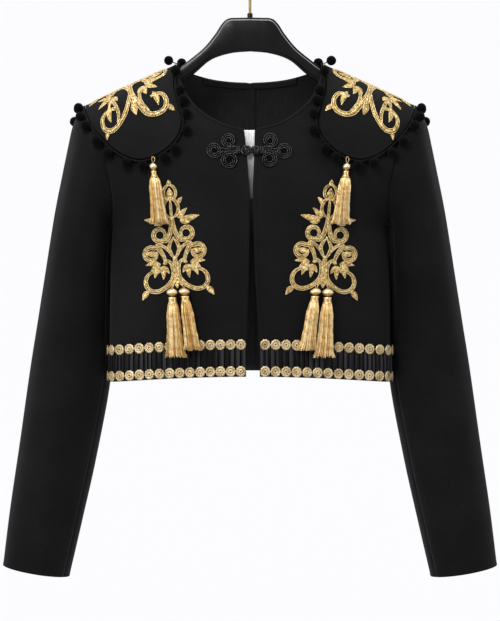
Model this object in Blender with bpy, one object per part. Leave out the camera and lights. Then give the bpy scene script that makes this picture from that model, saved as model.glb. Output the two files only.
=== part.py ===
"""Cropped matador jacket on a hanger.

Tables and sizes are in millimetres; meshes are written in metres, +Z up. The front of the jacket
faces -Y and the wearer's right is at -X. The origin is the inner top of the hanger's hook, where the
rail carries it. Tables give the right half as distances from the middle; a side of -1 or +1 turns
them into places.
"""
import math

import bmesh
import bpy
import numpy as np
from mathutils import Vector
from mathutils.bvhtree import BVHTree

MM = 0.001
CLOTH = 1.5          # wall of the body and sleeve cloth
FLAP = 2.0           # wall of an epaulette, two layers with a stiffener between
GAP = 0.3            # kept between any two pieces
HALF_GAP = GAP / 2
ROUND = 2.2          # exponent of the level sections: 2 is an ellipse, more is squarer
SIDES = (("right", -1), ("left", 1))
FRONT, BACK = -1, 1


# ---------------------------------------------------------------- tables and curves
def table(names, rows):
    """A table's rows as one array for each named column."""
    return dict(zip(names.split(), np.array(rows, float).T))


def spline(knots, values, at):
    """Smooth curve through the values at the knots, read at one place."""
    slopes = np.gradient(values, knots, axis=0)
    at = min(max(at, knots[0]), knots[-1])
    i = min(max(int(np.searchsorted(knots, at, side="right")) - 1, 0), len(knots) - 2)
    span = knots[i + 1] - knots[i]
    s = (at - knots[i]) / span
    start = values[i] * (1 + 2 * s) * (1 - s) ** 2 + slopes[i] * span * s * (1 - s) ** 2
    end = values[i + 1] * (3 - 2 * s) * s ** 2 + slopes[i + 1] * span * (s - 1) * s ** 2
    return start + end


def read(source, column, at):
    """A named column of a table at a place along its first column."""
    return spline(next(iter(source.values())), source[column], at)


def path(rows, share):
    """Point at a share of the way along a smooth line through the rows."""
    rows = np.array(rows, float)
    steps = np.linalg.norm(np.diff(rows, axis=0), axis=1)
    knots = np.concatenate([[0], np.cumsum(steps)]) / steps.sum()
    return spline(knots, rows, share)


# Middle of the front and of the back, seen from the side: how far each stands from the hanger's plane.
MIDDLE = table("z     front back", [
               (-546,  88,   82),
               (-450,  87,   81),
               (-346,  85,   79),
               (-262,  79,   77),
               (-223,  70,   70),
               (-180,  55,   59),
               (-137,  28,   40)])

# Side seam, hem to underarm.
SIDE = table("z     x      y", [
             (-546, 181.5, -8),
             (-476, 181.8, -6),
             (-400, 180.6, -3),
             (-346, 178.8,  0)])

# Centre-front edges, hem to neck: the wearer's right and left edges don't meet.
EDGE = table("z       right  left", [
             (-535.2,  5.0,  12.4),
             (-476,    3.4,  10.4),
             (-401,    1.5,   6.0),
             (-348,    0.6,   4.6),
             (-306,    0.9,   3.3),
             (-257,    3.8,   5.2),
             (-222.6,  7.7,   6.0)])

UNDERARM = (178.8, -346.0)      # x, z of the underarm point
TIP = (189.0, -179.7)           # x, z of the shoulder tip
NECK = (95.0, -136.8)           # x, z of the neck point
NECK_FRONT_Z = -222.6           # where the centre-front edges reach the neckline
NECK_BACK_Z = -153.3
HEM_Z = -535.2
HEM_DROP = 9.8                  # how much lower the hem is at the side seam
ARMHOLE_DEPTH = {FRONT: 53.0, BACK: 54.0}

# Armhole seam seen from the front.
ARMHOLE = table("z       x", [
                (-346,   178.8),
                (-323,   175.6),
                (-301,   176.7),
                (-266,   183.0),
                (-225,   187.0),
                (-179.7, 189.0)])

NECK_FRONT = [(23.7, -218.8), (36.3, -214.1), (49.3, -207.4), (62.4, -197.7),
              (75.6, -184.3), (88.2, -159.1), NECK]
NECK_BACK = [(HALF_GAP, NECK_BACK_Z), (26, -152.2), (51.4, -149.1), (73.9, -143.6), NECK]

# Sleeve rings from the armhole to the cuff: inner and outer end of each ring seen from the front,
# how far back its middle hangs, and its depth before and behind that middle.
SLEEVE = table("ring in_x   in_z    out_x  out_z   y   front back", [
               (0,  178.8, -346.0, 189.0, -179.7,  0,  53.0, 54.0),
               (1,  179.4, -348.0, 203.0, -186.3,  0,  53.5, 54.5),
               (2,  179.7, -350.0, 213.5, -192.0,  0,  54.0, 55.0),
               (3,  179.9, -353.0, 223.5, -201.0,  1,  55.0, 55.0),
               (4,  180.0, -357.0, 230.5, -216.0,  2,  55.0, 54.0),
               (5,  180.1, -363.0, 236.0, -240.0,  3,  54.0, 53.0),
               (6,  180.3, -372.0, 243.5, -275.0,  5,  53.0, 52.0),
               (7,  180.7, -392.0, 254.5, -328.0,  9,  51.0, 50.0),
               (8,  181.2, -425.0, 267.5, -405.0, 15,  49.0, 49.0),
               (9,  182.0, -485.0, 278.5, -470.0, 21,  47.0, 47.0),
               (10, 183.2, -546.0, 288.5, -531.0, 23,  46.0, 46.0),
               (11, 201.0, -645.0, 301.7, -628.0, 16,  43.0, 43.0),
               (12, 219.0, -727.0, 313.3, -711.0,  9,  40.0, 40.0),
               (13, 235.5, -799.5, 321.8, -784.5,  2,  38.0, 38.0)])
CUFF = 13
SEAM_FRONT, SEAM_BACK = 150.0, 255.0     # angles of the two sleeve seams, 0 outer, 90 front, 180 inner

# Epaulette: its ridge, the half width of its level sections, and its outline seen from the front.
FLAP_RIDGE = [(95.8, -134.2), (212.7, -187.6)]
FLAP_WIDTH = table("z       front  back", [
                   (-262,   246,   266),
                   (-245,   248,   271),
                   (-231,   248,   267),
                   (-215,   244,   252),
                   (-205,   235,   240),
                   (-196,   224,   228),
                   (-187.6, 212.7, 212.7)])
FLAP_LIFT = 3.0                  # how far its outer face stands before the cloth in the middle
FLAP_NECK_SIDE = [FLAP_RIDGE[0], (97.5, -152), (97.8, -168), (92.5, -188), (87, -212)]
FLAP_OUTER_SIDE = {FRONT: [FLAP_RIDGE[1], (208, -203), (199.2, -219.2)],
                   BACK: [FLAP_RIDGE[1], (220, -199), (221, -214), (211, -231)]}
FLAP_BOTTOM = {FRONT: [FLAP_NECK_SIDE[-1], (89.9, -227.1), (101.2, -243.3), (116, -254), (127, -258.7),
                       (140.7, -260.9), (155.6, -256.8), (170.7, -248.4), (184.9, -235.3),
                       FLAP_OUTER_SIDE[FRONT][-1]],
               BACK: [FLAP_NECK_SIDE[-1], (89.9, -228), (101.2, -246), (117, -257), (134, -262),
                      (153, -262), (173, -257), (193, -247), FLAP_OUTER_SIDE[BACK][-1]]}

BRAID_RADIUS = 1.7
POM_RADIUS = 6.5
# Pom-poms of the front half, from the neck end of the ridge round to its outer end: place along
# the rim, and how far the ball hangs out past the braid and up off it. The back half is even.
POMS_FRONT = table("arc  out   up", [
                   (2,   -9.0, 9.5),
                   (34,   1.0, 6.5),
                   (66,   6.2, 3.2),
                   (82,   6.2, 3.2),
                   (100,  6.2, 3.2),
                   (122,  6.2, 3.2),
                   (146,  6.2, 3.2),
                   (162,  6.2, 3.2),
                   (189,  6.2, 3.2),
                   (207,  6.2, 3.2),
                   (233,  6.2, 3.2),
                   (254,  6.2, 3.2),
                   (279,  6.2, 3.2),
                   (296,  6.2, 3.2),
                   (320,  6.2, 3.2)])
POM_PITCH = 22.5

BAND_HEIGHT = (1.0, 40.0)        # pleated band above the hem, lower and upper edge
BAND_WALL = 1.6
MEDALLION = 13.6                 # height of a medallion strip
MEDALLION_WALL = 1.2
MEDALLION_ROWS = {"lower": 6.9, "upper": 40.6}     # middles above the hem

# Reach of the front applique: lobes in its own plane, a towards the centre front and b up.
APPLIQUE_AT = (94.6, -387.5)
APPLIQUE_WALL = 1.6
APPLIQUE_CORE = 26.0             # least reach of its outline from the middle
APPLIQUE_LOBES = table("a      b      radius", [
                       (-7.9,  84.8,  10.0),
                       (-4.0,  97.0,   3.0),
                       (14.5,  60.9,  10.0),
                       (-30.0, 50.8,   5.5),
                       (-20.9, 31.4,   9.7),
                       (12.9,  33.8,   9.7),
                       (-31.2,  6.4,  11.3),
                       (28.2,  13.0,  12.0),
                       (-23.4, -27.3, 15.0),
                       (27.0, -21.0,  15.0),
                       (-40.0, -47.5,  3.0),
                       (45.0, -39.0,   3.0),
                       (2.5,  -28.9,   5.0)])

# Reach of the epaulette's embroidery, in columns and rows of the epaulette's own grid.
FLAP_GRID = (10, 14)
MOTIF_COLUMNS = (1, 10)
MOTIF_ROWS = (3, 12)
MOTIF_WALL = 1.2

# Frog fastener: loops as discs, and the knot button between the two frogs.
FROG_LOOPS = {"right": table("x     z       radius", [
                             (26.7, -237.5,  9.6),
                             (45.0, -250.0, 10.1),
                             (25.7, -262.6, 11.4)]),
              "left": table("x     z       radius", [
                            (25.1, -237.5, 10.4),
                            (43.0, -250.6, 10.9),
                            (24.1, -261.6, 10.9)])}
FROG_NECK = (13.6, 4.2)          # where the cords reach the knot, and half their height there
FROG_Z = -250.4
FROG_WALL = 2.8
FROG_CORE = 13.0
KNOT_SIZE = (9.0, 3.6, 6.6)      # half width, half depth, half height
KNOT_X = 0.4

# Tassel from the top of its cord to its foot: radius as a sum of the ball's, the skirt top's and the
# skirt foot's.
TASSEL = table("share  ball  neck_end  foot", [
               (0.000, 0.20, 0.00, 0.00),
               (0.035, 0.20, 0.00, 0.00),
               (0.050, 0.62, 0.00, 0.00),
               (0.075, 0.92, 0.00, 0.00),
               (0.110, 1.00, 0.00, 0.00),
               (0.150, 0.86, 0.00, 0.00),
               (0.175, 0.68, 0.00, 0.00),
               (0.240, 0.72, 0.00, 0.00),
               (0.262, 0.00, 1.00, 0.00),
               (0.600, 0.00, 0.55, 0.45),
               (1.000, 0.00, 0.00, 1.00)])
TASSEL_FLAT = 0.62               # depth of the skirt's foot, a share of its width
# Each tassel: radii of its ball and of its skirt's top and foot, where its cord and its foot are seen
# from the front, and how far its back stays off the cloth at the top and at the foot.
TASSELS = table("ball neck_end foot  top_x  top_z   foot_x foot_z  off_top off_foot", [
                (4.7, 6.4,     10.4, 122.8, -262.0, 114.0, -343.0, 1.0,    2.4),
                (7.0, 7.0,     11.9,  98.8, -419.5,  94.6, -510.5, 0.8,    5.6),
                (6.8, 6.4,      9.2,  83.8, -419.5,  72.9, -501.5, 0.8,    5.2)])
TASSEL_NAMES = ("shoulder", "outer", "inner")
HEM_COLUMNS = 14
FLAP_HEART = (150.0, 0.0, -230.0)        # a point inside the shoulder


# ---------------------------------------------------------------- the body's outer face
def side_y(z):
    return read(SIDE, "y", z)


def depth(z, face):
    """How far the middle of one face stands from the side seam's plane."""
    return read(MIDDLE, "front" if face == FRONT else "back", z) - face * side_y(z)


def ridge_x(z):
    """Distance of the shoulder line from the middle at height z."""
    return NECK[0] + (z - NECK[1]) * (TIP[0] - NECK[0]) / (TIP[1] - NECK[1])


def armhole_y(z, face):
    """Depth of the armhole's oval at height z."""
    middle, half = (UNDERARM[1] + TIP[1]) / 2, (TIP[1] - UNDERARM[1]) / 2
    return ARMHOLE_DEPTH[face] * math.sqrt(max(0, 1 - ((z - middle) / half) ** 2))


def half_width(z, face):
    """Half width of a level section: to the side seam, through the armhole, or to the shoulder line."""
    if z <= UNDERARM[1]:
        return read(SIDE, "x", z)
    if z >= TIP[1]:
        return ridge_x(z)
    reach = armhole_y(z, face) / depth(z, face)
    return read(ARMHOLE, "x", z) / (1 - reach ** ROUND) ** (1 / ROUND)


def body_y(x, z, face):
    """The body's outer face, as Y over the front view."""
    across = min(abs(x) / half_width(z, face), 1)
    return side_y(z) + face * depth(z, face) * (1 - across ** ROUND) ** (1 / ROUND)


def hem_z(x):
    return HEM_Z - HEM_DROP * (x / SIDE["x"][0]) ** 2


def inner_edge(side, face, share):
    """Inner edge of a body panel, hem to neck point, level with the underarm at 0.5."""
    if face == FRONT:
        name, corner, line, turn = ("right" if side < 0 else "left"), NECK_FRONT_Z, NECK_FRONT, 0.68
        edge_x = lambda z: read(EDGE, name, z)
    else:
        corner, line, turn = NECK_BACK_Z, NECK_BACK[1:], 0.84
        edge_x = lambda z: HALF_GAP
    foot = hem_z(0)
    if share <= 0.5:
        z = foot + (UNDERARM[1] - foot) * share / 0.5
        return edge_x(z), z
    if share <= turn:
        z = UNDERARM[1] + (corner - UNDERARM[1]) * (share - 0.5) / (turn - 0.5)
        return edge_x(z), z
    return tuple(path([(edge_x(corner), corner)] + line, (share - turn) / (1 - turn)))


def outer_edge(share):
    """Outer edge of a body panel: side seam to 0.5, then round the armhole to the shoulder tip."""
    if share <= 0.5:
        foot = hem_z(SIDE["x"][0])
        z = foot + (UNDERARM[1] - foot) * share / 0.5
        return read(SIDE, "x", z), z
    turned = math.pi * (1 - (share - 0.5) / 0.5)
    z = (UNDERARM[1] + TIP[1]) / 2 + (TIP[1] - UNDERARM[1]) / 2 * math.cos(turned)
    return read(ARMHOLE, "x", z), z


def panel(side, face, columns, rows):
    """Grid of a front or back panel, hem to shoulder seam and centre to side."""
    grid = np.zeros((rows + 1, columns + 1, 3))
    for i in range(rows + 1):
        share = i / rows
        (x0, z0), (x1, z1) = inner_edge(side, face, share), outer_edge(share)
        straight = min(max((share - 0.5) / 0.25, 0), 1)
        for j in range(columns + 1):
            u = j / columns
            bent = math.sin(u * math.pi / 2)
            x = x0 + (x1 - x0) * (bent + (u - bent) * straight)
            z = z0 + (z1 - z0) * (bent + (u - bent) * straight)
            if i == 0:
                z = hem_z(x)
            y = body_y(x, z, face)
            on_seam = i == rows or (j == columns and share <= 0.5)
            if on_seam:
                y = side_y(z) + face * HALF_GAP
            grid[i, j] = (side * x, y, z)
    return grid


# ---------------------------------------------------------------- sleeves and epaulettes
def sleeve_point(ring, angle):
    """Point of a sleeve's outer face on the right half; angle in degrees, 0 outer, 90 front."""
    row = {name: read(SLEEVE, name, ring) for name in list(SLEEVE)[1:]}
    cos, sin = math.cos(math.radians(angle)), math.sin(math.radians(angle))
    x = (row["out_x"] + row["in_x"]) / 2 + (row["out_x"] - row["in_x"]) / 2 * cos
    z = (row["out_z"] + row["in_z"]) / 2 + (row["out_z"] - row["in_z"]) / 2 * cos
    y = row["y"] - (row["front"] if sin > 0 else row["back"]) * sin
    if ring < 2:
        seam_z = (TIP[1] + UNDERARM[1]) / 2 + (TIP[1] - UNDERARM[1]) / 2 * cos
        seam_x = (TIP[0] + UNDERARM[0]) / 2 + (TIP[0] - UNDERARM[0]) / 2 * cos
        x += (read(ARMHOLE, "x", seam_z) + 2 * GAP - seam_x) * (1 - ring / 2) ** 2
    return x, y, z


def square_off(surface, u, v, step, outward):
    """Unit normal of a surface at u and v, on the side that outward(point) names."""
    at = np.array(surface(u, v))
    found = np.cross(np.array(surface(u + step, v)) - np.array(surface(u - step, v)),
                     np.array(surface(u, v + step)) - np.array(surface(u, v - step)))
    found /= np.linalg.norm(found)
    return found if found @ outward(at) > 0 else -found


def sleeve(side, start, stop, steps, rings):
    """Grid of a sleeve piece between two seam angles, armhole to cuff, with its normals."""
    grid = np.zeros((len(rings), steps + 1, 3))
    found = np.zeros_like(grid)
    for i, ring in enumerate(rings):
        middle = (np.array(sleeve_point(ring, 0)) + np.array(sleeve_point(ring, 180))) / 2
        for j in range(steps + 1):
            angle = start + (stop - start) * j / steps
            grid[i, j] = sleeve_point(ring, angle)
            bent = lambda r, a: sleeve_point(min(max(r, 0), CUFF), a)
            found[i, j] = square_off(bent, ring, angle, 0.02, lambda at: at - middle)
    return grid * (side, 1, 1), found * (side, 1, 1)


def flap_y(x, z, face):
    """The epaulette's outer face, as Y over the front view."""
    (x0, z0), (x1, z1) = FLAP_RIDGE
    if z > z1:
        half = x0 + (z - z0) * (x1 - x0) / (z1 - z0)
    else:
        half = max(read(FLAP_WIDTH, "front" if face == FRONT else "back", z), half_width(z, face) + 4)
    across = min(abs(x) / half, 1)
    return face * (depth(z, face) + FLAP_LIFT) * (1 - across ** ROUND) ** (1 / ROUND)


def flap_outline(u, v, face):
    """Point of an epaulette seen from the front: u along the ridge, v from the ridge to the rim."""
    ridge = np.array(FLAP_RIDGE[0]) * (1 - u) + np.array(FLAP_RIDGE[1]) * u
    bottom, neck, outer = (path(FLAP_BOTTOM[face], u), path(FLAP_NECK_SIDE, v),
                           path(FLAP_OUTER_SIDE[face], v))
    corners = [np.array(c) for c in (*FLAP_RIDGE, FLAP_BOTTOM[face][0], FLAP_BOTTOM[face][-1])]
    bilinear = ((1 - u) * (1 - v) * corners[0] + u * (1 - v) * corners[1]
                + (1 - u) * v * corners[2] + u * v * corners[3])
    return ridge * (1 - v) + bottom * v + neck * (1 - u) + outer * u - bilinear


def flap_point(side, u, v):
    """Point of an epaulette's outer face; v runs from -1 at the back rim over the ridge to 1."""
    face = FRONT if v >= 0 else BACK
    x, z = flap_outline(u, abs(v) ** 1.5, face)
    return np.array([side * x, flap_y(x, z, face), z])


def flap(side, columns, rows):
    """Grid of an epaulette, back rim to front rim and neck end to outer end."""
    return np.array([[flap_point(side, j / columns, 2 * i / rows - 1) for j in range(columns + 1)]
                     for i in range(rows + 1)])


# ---------------------------------------------------------------- making meshes
def normals(grid, outward):
    """Unit normal at each point of a grid, on the side that outward names."""
    along, across = np.gradient(grid, axis=0), np.gradient(grid, axis=1)
    found = np.cross(along, across)
    found /= np.linalg.norm(found, axis=2, keepdims=True)
    middle = found[grid.shape[0] // 2, grid.shape[1] // 2]
    return found if middle @ np.array(outward, float) > 0 else -found


def level_at_seam(found, rows, columns):
    """Turn the normals on a seam that lies in the side plane square to it."""
    found[rows, columns, 1] = 0
    found[rows, columns] /= np.linalg.norm(found[rows, columns], axis=-1, keepdims=True)


def make_object(name, points, faces, colour, roughness, metallic):
    """Closed mesh with faces outwards, smooth but for sharp edges, with its own material."""
    mesh = bpy.data.meshes.new(name)
    mesh.from_pydata([Vector(p) * MM for p in points], [], faces)
    body = bmesh.new()
    body.from_mesh(mesh)
    bmesh.ops.recalc_face_normals(body, faces=body.faces)
    body.to_mesh(mesh)
    body.free()
    mesh.shade_smooth()
    mesh.set_sharp_from_angle(angle=math.radians(40))
    material = bpy.data.materials.new(name)
    material.use_nodes = True
    shader = material.node_tree.nodes["Principled BSDF"]
    shader.inputs["Base Color"].default_value = (*colour, 1)
    shader.inputs["Roughness"].default_value = roughness
    shader.inputs["Metallic"].default_value = metallic
    mesh.materials.append(material)
    made = bpy.data.objects.new(name, mesh)
    bpy.context.collection.objects.link(made)
    return made


WOOL = ((0.011, 0.011, 0.012), 0.85, 0.0)
SATIN = ((0.010, 0.010, 0.011), 0.45, 0.0)
CORD = ((0.008, 0.008, 0.009), 0.7, 0.0)
GOLD_THREAD = ((0.62, 0.40, 0.14), 0.45, 0.3)
PALE_GOLD = ((0.60, 0.48, 0.27), 0.5, 0.3)
BLACK_PLASTIC = ((0.012, 0.012, 0.012), 0.4, 0.0)
BRASS = ((0.62, 0.44, 0.17), 0.25, 1.0)


def wall(name, grid, found, low, high, finish):
    """Solid between two offsets of a grid along its normals."""
    rows, columns = grid.shape[:2]
    count = rows * columns
    points = np.concatenate([(grid + found * high).reshape(-1, 3), (grid + found * low).reshape(-1, 3)])
    at = lambda i, j: i * columns + j
    faces = []
    for i in range(rows - 1):
        for j in range(columns - 1):
            quad = (at(i, j), at(i, j + 1), at(i + 1, j + 1), at(i + 1, j))
            faces += [quad, tuple(count + k for k in reversed(quad))]
    rim = ([at(0, j) for j in range(columns)] + [at(i, columns - 1) for i in range(1, rows)]
           + [at(rows - 1, j) for j in range(columns - 2, -1, -1)] + [at(i, 0) for i in range(rows - 2, 0, -1)])
    for a, b in zip(rim, rim[1:] + rim[:1]):
        faces.append((b, a, count + a, count + b))
    return make_object(name, points, faces, *finish)


def lofted(name, rings, finish):
    """Solid through closed rings of points, capped at both ends."""
    sides = len(rings[0])
    points = [p for ring in rings for p in ring]
    faces = [tuple(range(sides)), tuple((len(rings) - 1) * sides + k for k in reversed(range(sides)))]
    for i in range(len(rings) - 1):
        for k in range(sides):
            after = (k + 1) % sides
            faces.append((i * sides + k, i * sides + after, (i + 1) * sides + after, (i + 1) * sides + k))
    return make_object(name, points, faces, *finish)


def tube_rings(line, radius, sides, closed=False):
    """Rings of a round tube along a line of points."""
    line = [Vector(p) for p in line]
    count = len(line)
    rings = []
    for i, point in enumerate(line):
        before = line[i - 1] if i or closed else point
        after = line[(i + 1) % count] if i < count - 1 or closed else point
        along = (after - before).normalized()
        across = along.cross(Vector((0.13, 0.31, 0.94))).normalized() if i == 0 else across
        across = (across - along * across.dot(along)).normalized()
        up = along.cross(across)
        rings.append([point + (across * math.cos(a) + up * math.sin(a)) * radius
                      for a in (2 * math.pi * k / sides for k in range(sides))])
    return rings


def tree_of(objects):
    """Nearest-point tree of some objects' meshes, in millimetres."""
    points, faces = [], []
    for each in objects:
        start = len(points)
        points += [v.co / MM for v in each.data.vertices]
        faces += [tuple(start + k for k in p.vertices) for p in each.data.polygons]
    return BVHTree.FromPolygons(points, faces)


def clear_of(tree, point, distance):
    """Move a point away from the nearest cloth until it is a distance clear of it."""
    for _ in range(6):
        nearest, _, _, gap = tree.find_nearest(point)
        if gap < distance:
            point = point + (point - nearest).normalized() * (distance - gap)
    return point


# ---------------------------------------------------------------- the cloth
def make_body():
    """Fronts and backs; the centre-back seam and the side and shoulder seams are left open by a gap."""
    made = []
    for name, side in SIDES:
        for part, face in (("front", FRONT), ("back", BACK)):
            grid = panel(side, face, columns=9, rows=18)
            found = normals(grid, (0, face, 0))
            level_at_seam(found, slice(0, 10), -1)
            level_at_seam(found, -1, slice(None))
            if face == BACK:
                found[:16, 0, 0] = 0
            made.append(wall(f"{part}_{name}", grid, found, -CLOTH, 0, WOOL))
    return made


def make_sleeves():
    made = []
    rings = [0, 1, 1.5, 2, 2.5, 3, 4, 5, 6, 7, 8, 9, 10, 11, 12, CUFF]
    half_gap = 0.25          # degrees between a sleeve piece and its seam
    for name, side in SIDES:
        upper = sleeve(side, SEAM_BACK + half_gap - 360, SEAM_FRONT - half_gap, 12, rings)
        under = sleeve(side, SEAM_FRONT + half_gap, SEAM_BACK - half_gap, 5, rings)
        made.append(wall(f"upper_sleeve_{name}", *upper, -CLOTH, 0, WOOL))
        made.append(wall(f"under_sleeve_{name}", *under, -CLOTH, 0, WOOL))
    return made


def make_neck_facing():
    """Facing inside the back neck, where its edge shows."""
    columns, wide = 12, 6.0
    grid = np.zeros((2, columns + 1, 3))
    for j in range(columns + 1):
        x = 62.0 * (2 * j / columns - 1)
        z = spline(*np.array(NECK_BACK).T, abs(x))
        for i in (0, 1):
            level = z - 1.0 - wide * (1 - i)
            grid[i, j] = (x, body_y(x, level, BACK), level)
    found = normals(grid, (0, 1, 0))
    return wall("back_neck_facing", grid, found, -CLOTH - 1.7, -CLOTH - 0.9, WOOL)


def hem_strip(side, face, low, high, columns):
    """Grid of a strip round one quarter of the hem, between two heights above it."""
    grid = np.zeros((2, columns + 1, 3))
    for i, height in enumerate((low, high)):
        for j in range(columns + 1):
            bent = math.sin(j / columns * math.pi / 2)
            foot = inner_edge(side, face, 0)[0]
            x = foot + (SIDE["x"][0] - foot) * bent
            z = hem_z(x) + height
            x *= min(1, half_width(z, face) / SIDE["x"][0])
            y = side_y(z) + face * HALF_GAP if j == columns else body_y(x, z, face)
            grid[i, j] = (side * x, y, z)
    return grid


def round_back(strip_of, columns):
    """One strip across the whole back, from the two quarters that strip_of gives."""
    left, right = strip_of(-1, BACK, columns), strip_of(1, BACK, columns)
    return np.concatenate([left[:, ::-1], right[:, 1:]], axis=1)


def make_hem_trim():
    """Pleated satin band and the two rows of medallions, on the fronts and across the back."""
    strips = [("pleated_band", BAND_HEIGHT, 2 * GAP, BAND_WALL, SATIN)]
    for row, middle in MEDALLION_ROWS.items():
        span = (middle - MEDALLION / 2, middle + MEDALLION / 2)
        strips.append((f"medallions_{row}", span, 3 * GAP + BAND_WALL, MEDALLION_WALL, PALE_GOLD))
    for title, (low, high), lift, thick, finish in strips:
        for name, side in SIDES:
            grid = hem_strip(side, FRONT, low, high, HEM_COLUMNS)
            found = normals(grid, (0, -1, 0))
            level_at_seam(found, slice(None), -1)
            wall(f"{title}_front_{name}", grid, found, lift, lift + thick, finish)
        grid = round_back(lambda side, face, columns: hem_strip(side, face, low, high, columns), HEM_COLUMNS)
        found = normals(grid, (0, 1, 0))
        level_at_seam(found, slice(None), 0)
        level_at_seam(found, slice(None), -1)
        wall(f"{title}_back", grid, found, lift, lift + thick, finish)


def lobed_outline(lobes, count, least):
    """Outline round the union of some discs, as its reach in each direction from a = b = 0."""
    across, up, radius = lobes["a"], lobes["b"], lobes["radius"]
    reach = []
    for k in range(count):
        angle = 2 * math.pi * k / count
        ahead = across * math.cos(angle) + up * math.sin(angle)
        aside = up * math.cos(angle) - across * math.sin(angle)
        hit = np.abs(aside) < radius
        far = ahead[hit] + np.sqrt(radius[hit] ** 2 - aside[hit] ** 2)
        reach.append(far.max(initial=least))
    return reach


def plate(name, reach, place, low, high, finish, rings=(0.5, 1.0)):
    """Plate with a star-shaped outline; place gives the surface point for plate coordinates."""
    count = len(reach)
    angles = [2 * math.pi * k / count for k in range(count)]
    flat = [(0.0, 0.0)] + [(share * r * math.cos(a), share * r * math.sin(a))
                           for share in rings for r, a in zip(reach, angles)]
    step = 0.5
    points = []
    for lift in (high, low):
        for a, b in flat:
            at = np.array(place(a, b))
            normal = np.cross(np.array(place(a + step, b)) - at, np.array(place(a, b + step)) - at)
            normal /= np.linalg.norm(normal)
            points.append(at + normal * (-lift if normal[1] > 0 else lift))
    half = len(flat)
    faces = []
    for k in range(count):
        after = (k + 1) % count
        faces.append((0, 1 + k, 1 + after))
        for r in range(len(rings) - 1):
            inner, outer = 1 + r * count, 1 + (r + 1) * count
            faces.append((inner + k, outer + k, outer + after, inner + after))
        rim = 1 + (len(rings) - 1) * count
        faces.append((rim + k, half + rim + k, half + rim + after, rim + after))
    under = [tuple(half + i for i in reversed(f)) for f in faces if max(f) < half]
    return make_object(name, points, faces + under, *finish)


def make_appliques():
    for name, side in SIDES:
        def place(a, b):
            x, z = APPLIQUE_AT[0] - a, APPLIQUE_AT[1] + b
            return side * x, body_y(x, z, FRONT), z
        reach = lobed_outline(APPLIQUE_LOBES, 48, APPLIQUE_CORE)
        plate(f"applique_{name}", reach, place, 2 * GAP, 2 * GAP + APPLIQUE_WALL, GOLD_THREAD)


def make_frogs():
    """The two frogs, each a plate of its three loops and neck, and the knot between them."""
    for name, side in SIDES:
        loops = FROG_LOOPS[name]
        middle_x = loops["x"].mean() - 2
        neck_a = FROG_NECK[0] - middle_x
        lobes = {"a": np.append(loops["x"] - middle_x, (neck_a, neck_a * 0.6)),
                 "b": np.append(loops["z"] - FROG_Z, (0, 0)),
                 "radius": np.append(loops["radius"], (FROG_NECK[1], FROG_NECK[1]))}

        def place(a, b):
            x, z = middle_x + a, FROG_Z + b
            return side * x, body_y(x, z, FRONT), z
        plate(f"frog_{name}", lobed_outline(lobes, 32, FROG_CORE), place, GAP, GAP + FROG_WALL, CORD)
    knot_y = body_y(0, FROG_Z, FRONT) - GAP - KNOT_SIZE[1]
    rings = []
    for k in range(1, 6):
        up = math.cos(math.pi * k / 6)
        wide = math.sin(math.pi * k / 6)
        rings.append([(KNOT_X + KNOT_SIZE[0] * wide * math.cos(a), knot_y + KNOT_SIZE[1] * wide * math.sin(a),
                       FROG_Z + KNOT_SIZE[2] * up) for a in (2 * math.pi * j / 10 for j in range(10))])
    lofted("frog_knot", rings, CORD)


def make_epaulettes(cloth):
    """Epaulettes with their braid and pom-poms, and the embroidery made from their own points."""
    tree = tree_of(cloth)
    for name, side in SIDES:
        grid = flap(side, *FLAP_GRID)
        found = normals(grid, (0, 0, 1))
        wall(f"epaulette_{name}", grid, found, -FLAP, 0, WOOL)
        within = slice(*MOTIF_ROWS), slice(*MOTIF_COLUMNS)
        wall(f"embroidery_{name}", grid[within], found[within], 2 * GAP, 2 * GAP + MOTIF_WALL, GOLD_THREAD)
        make_pom_trim(name, side, tree)


def rim_line(side, count):
    """Points round an epaulette's rim with the directions out of it and off the cloth."""
    rim = []
    for k in range(count):
        share = 4 * k / count
        if share < 1:
            uv, inward = (share, 1), (0, -1)
        elif share < 2:
            uv, inward = (1, 1 - 2 * (share - 1)), (-1, 0)
        elif share < 3:
            uv, inward = (3 - share, -1), (0, 1)
        else:
            uv, inward = (0, 2 * (share - 3) - 1), (1, 0)
        at = flap_point(side, *uv)
        inside = flap_point(side, uv[0] + 0.04 * inward[0], uv[1] + 0.04 * inward[1])
        rim.append((at, at - inside))
    out = []
    for k, (at, away) in enumerate(rim):
        along = rim[(k + 1) % count][0] - rim[k - 1][0]
        along /= np.linalg.norm(along)
        away = away - along * (away @ along)
        away /= np.linalg.norm(away)
        off = np.cross(along, away)
        out.append((at, away, off if off @ (at - np.array(FLAP_HEART) * (side, 1, 1)) > 0 else -off))
    return out


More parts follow.
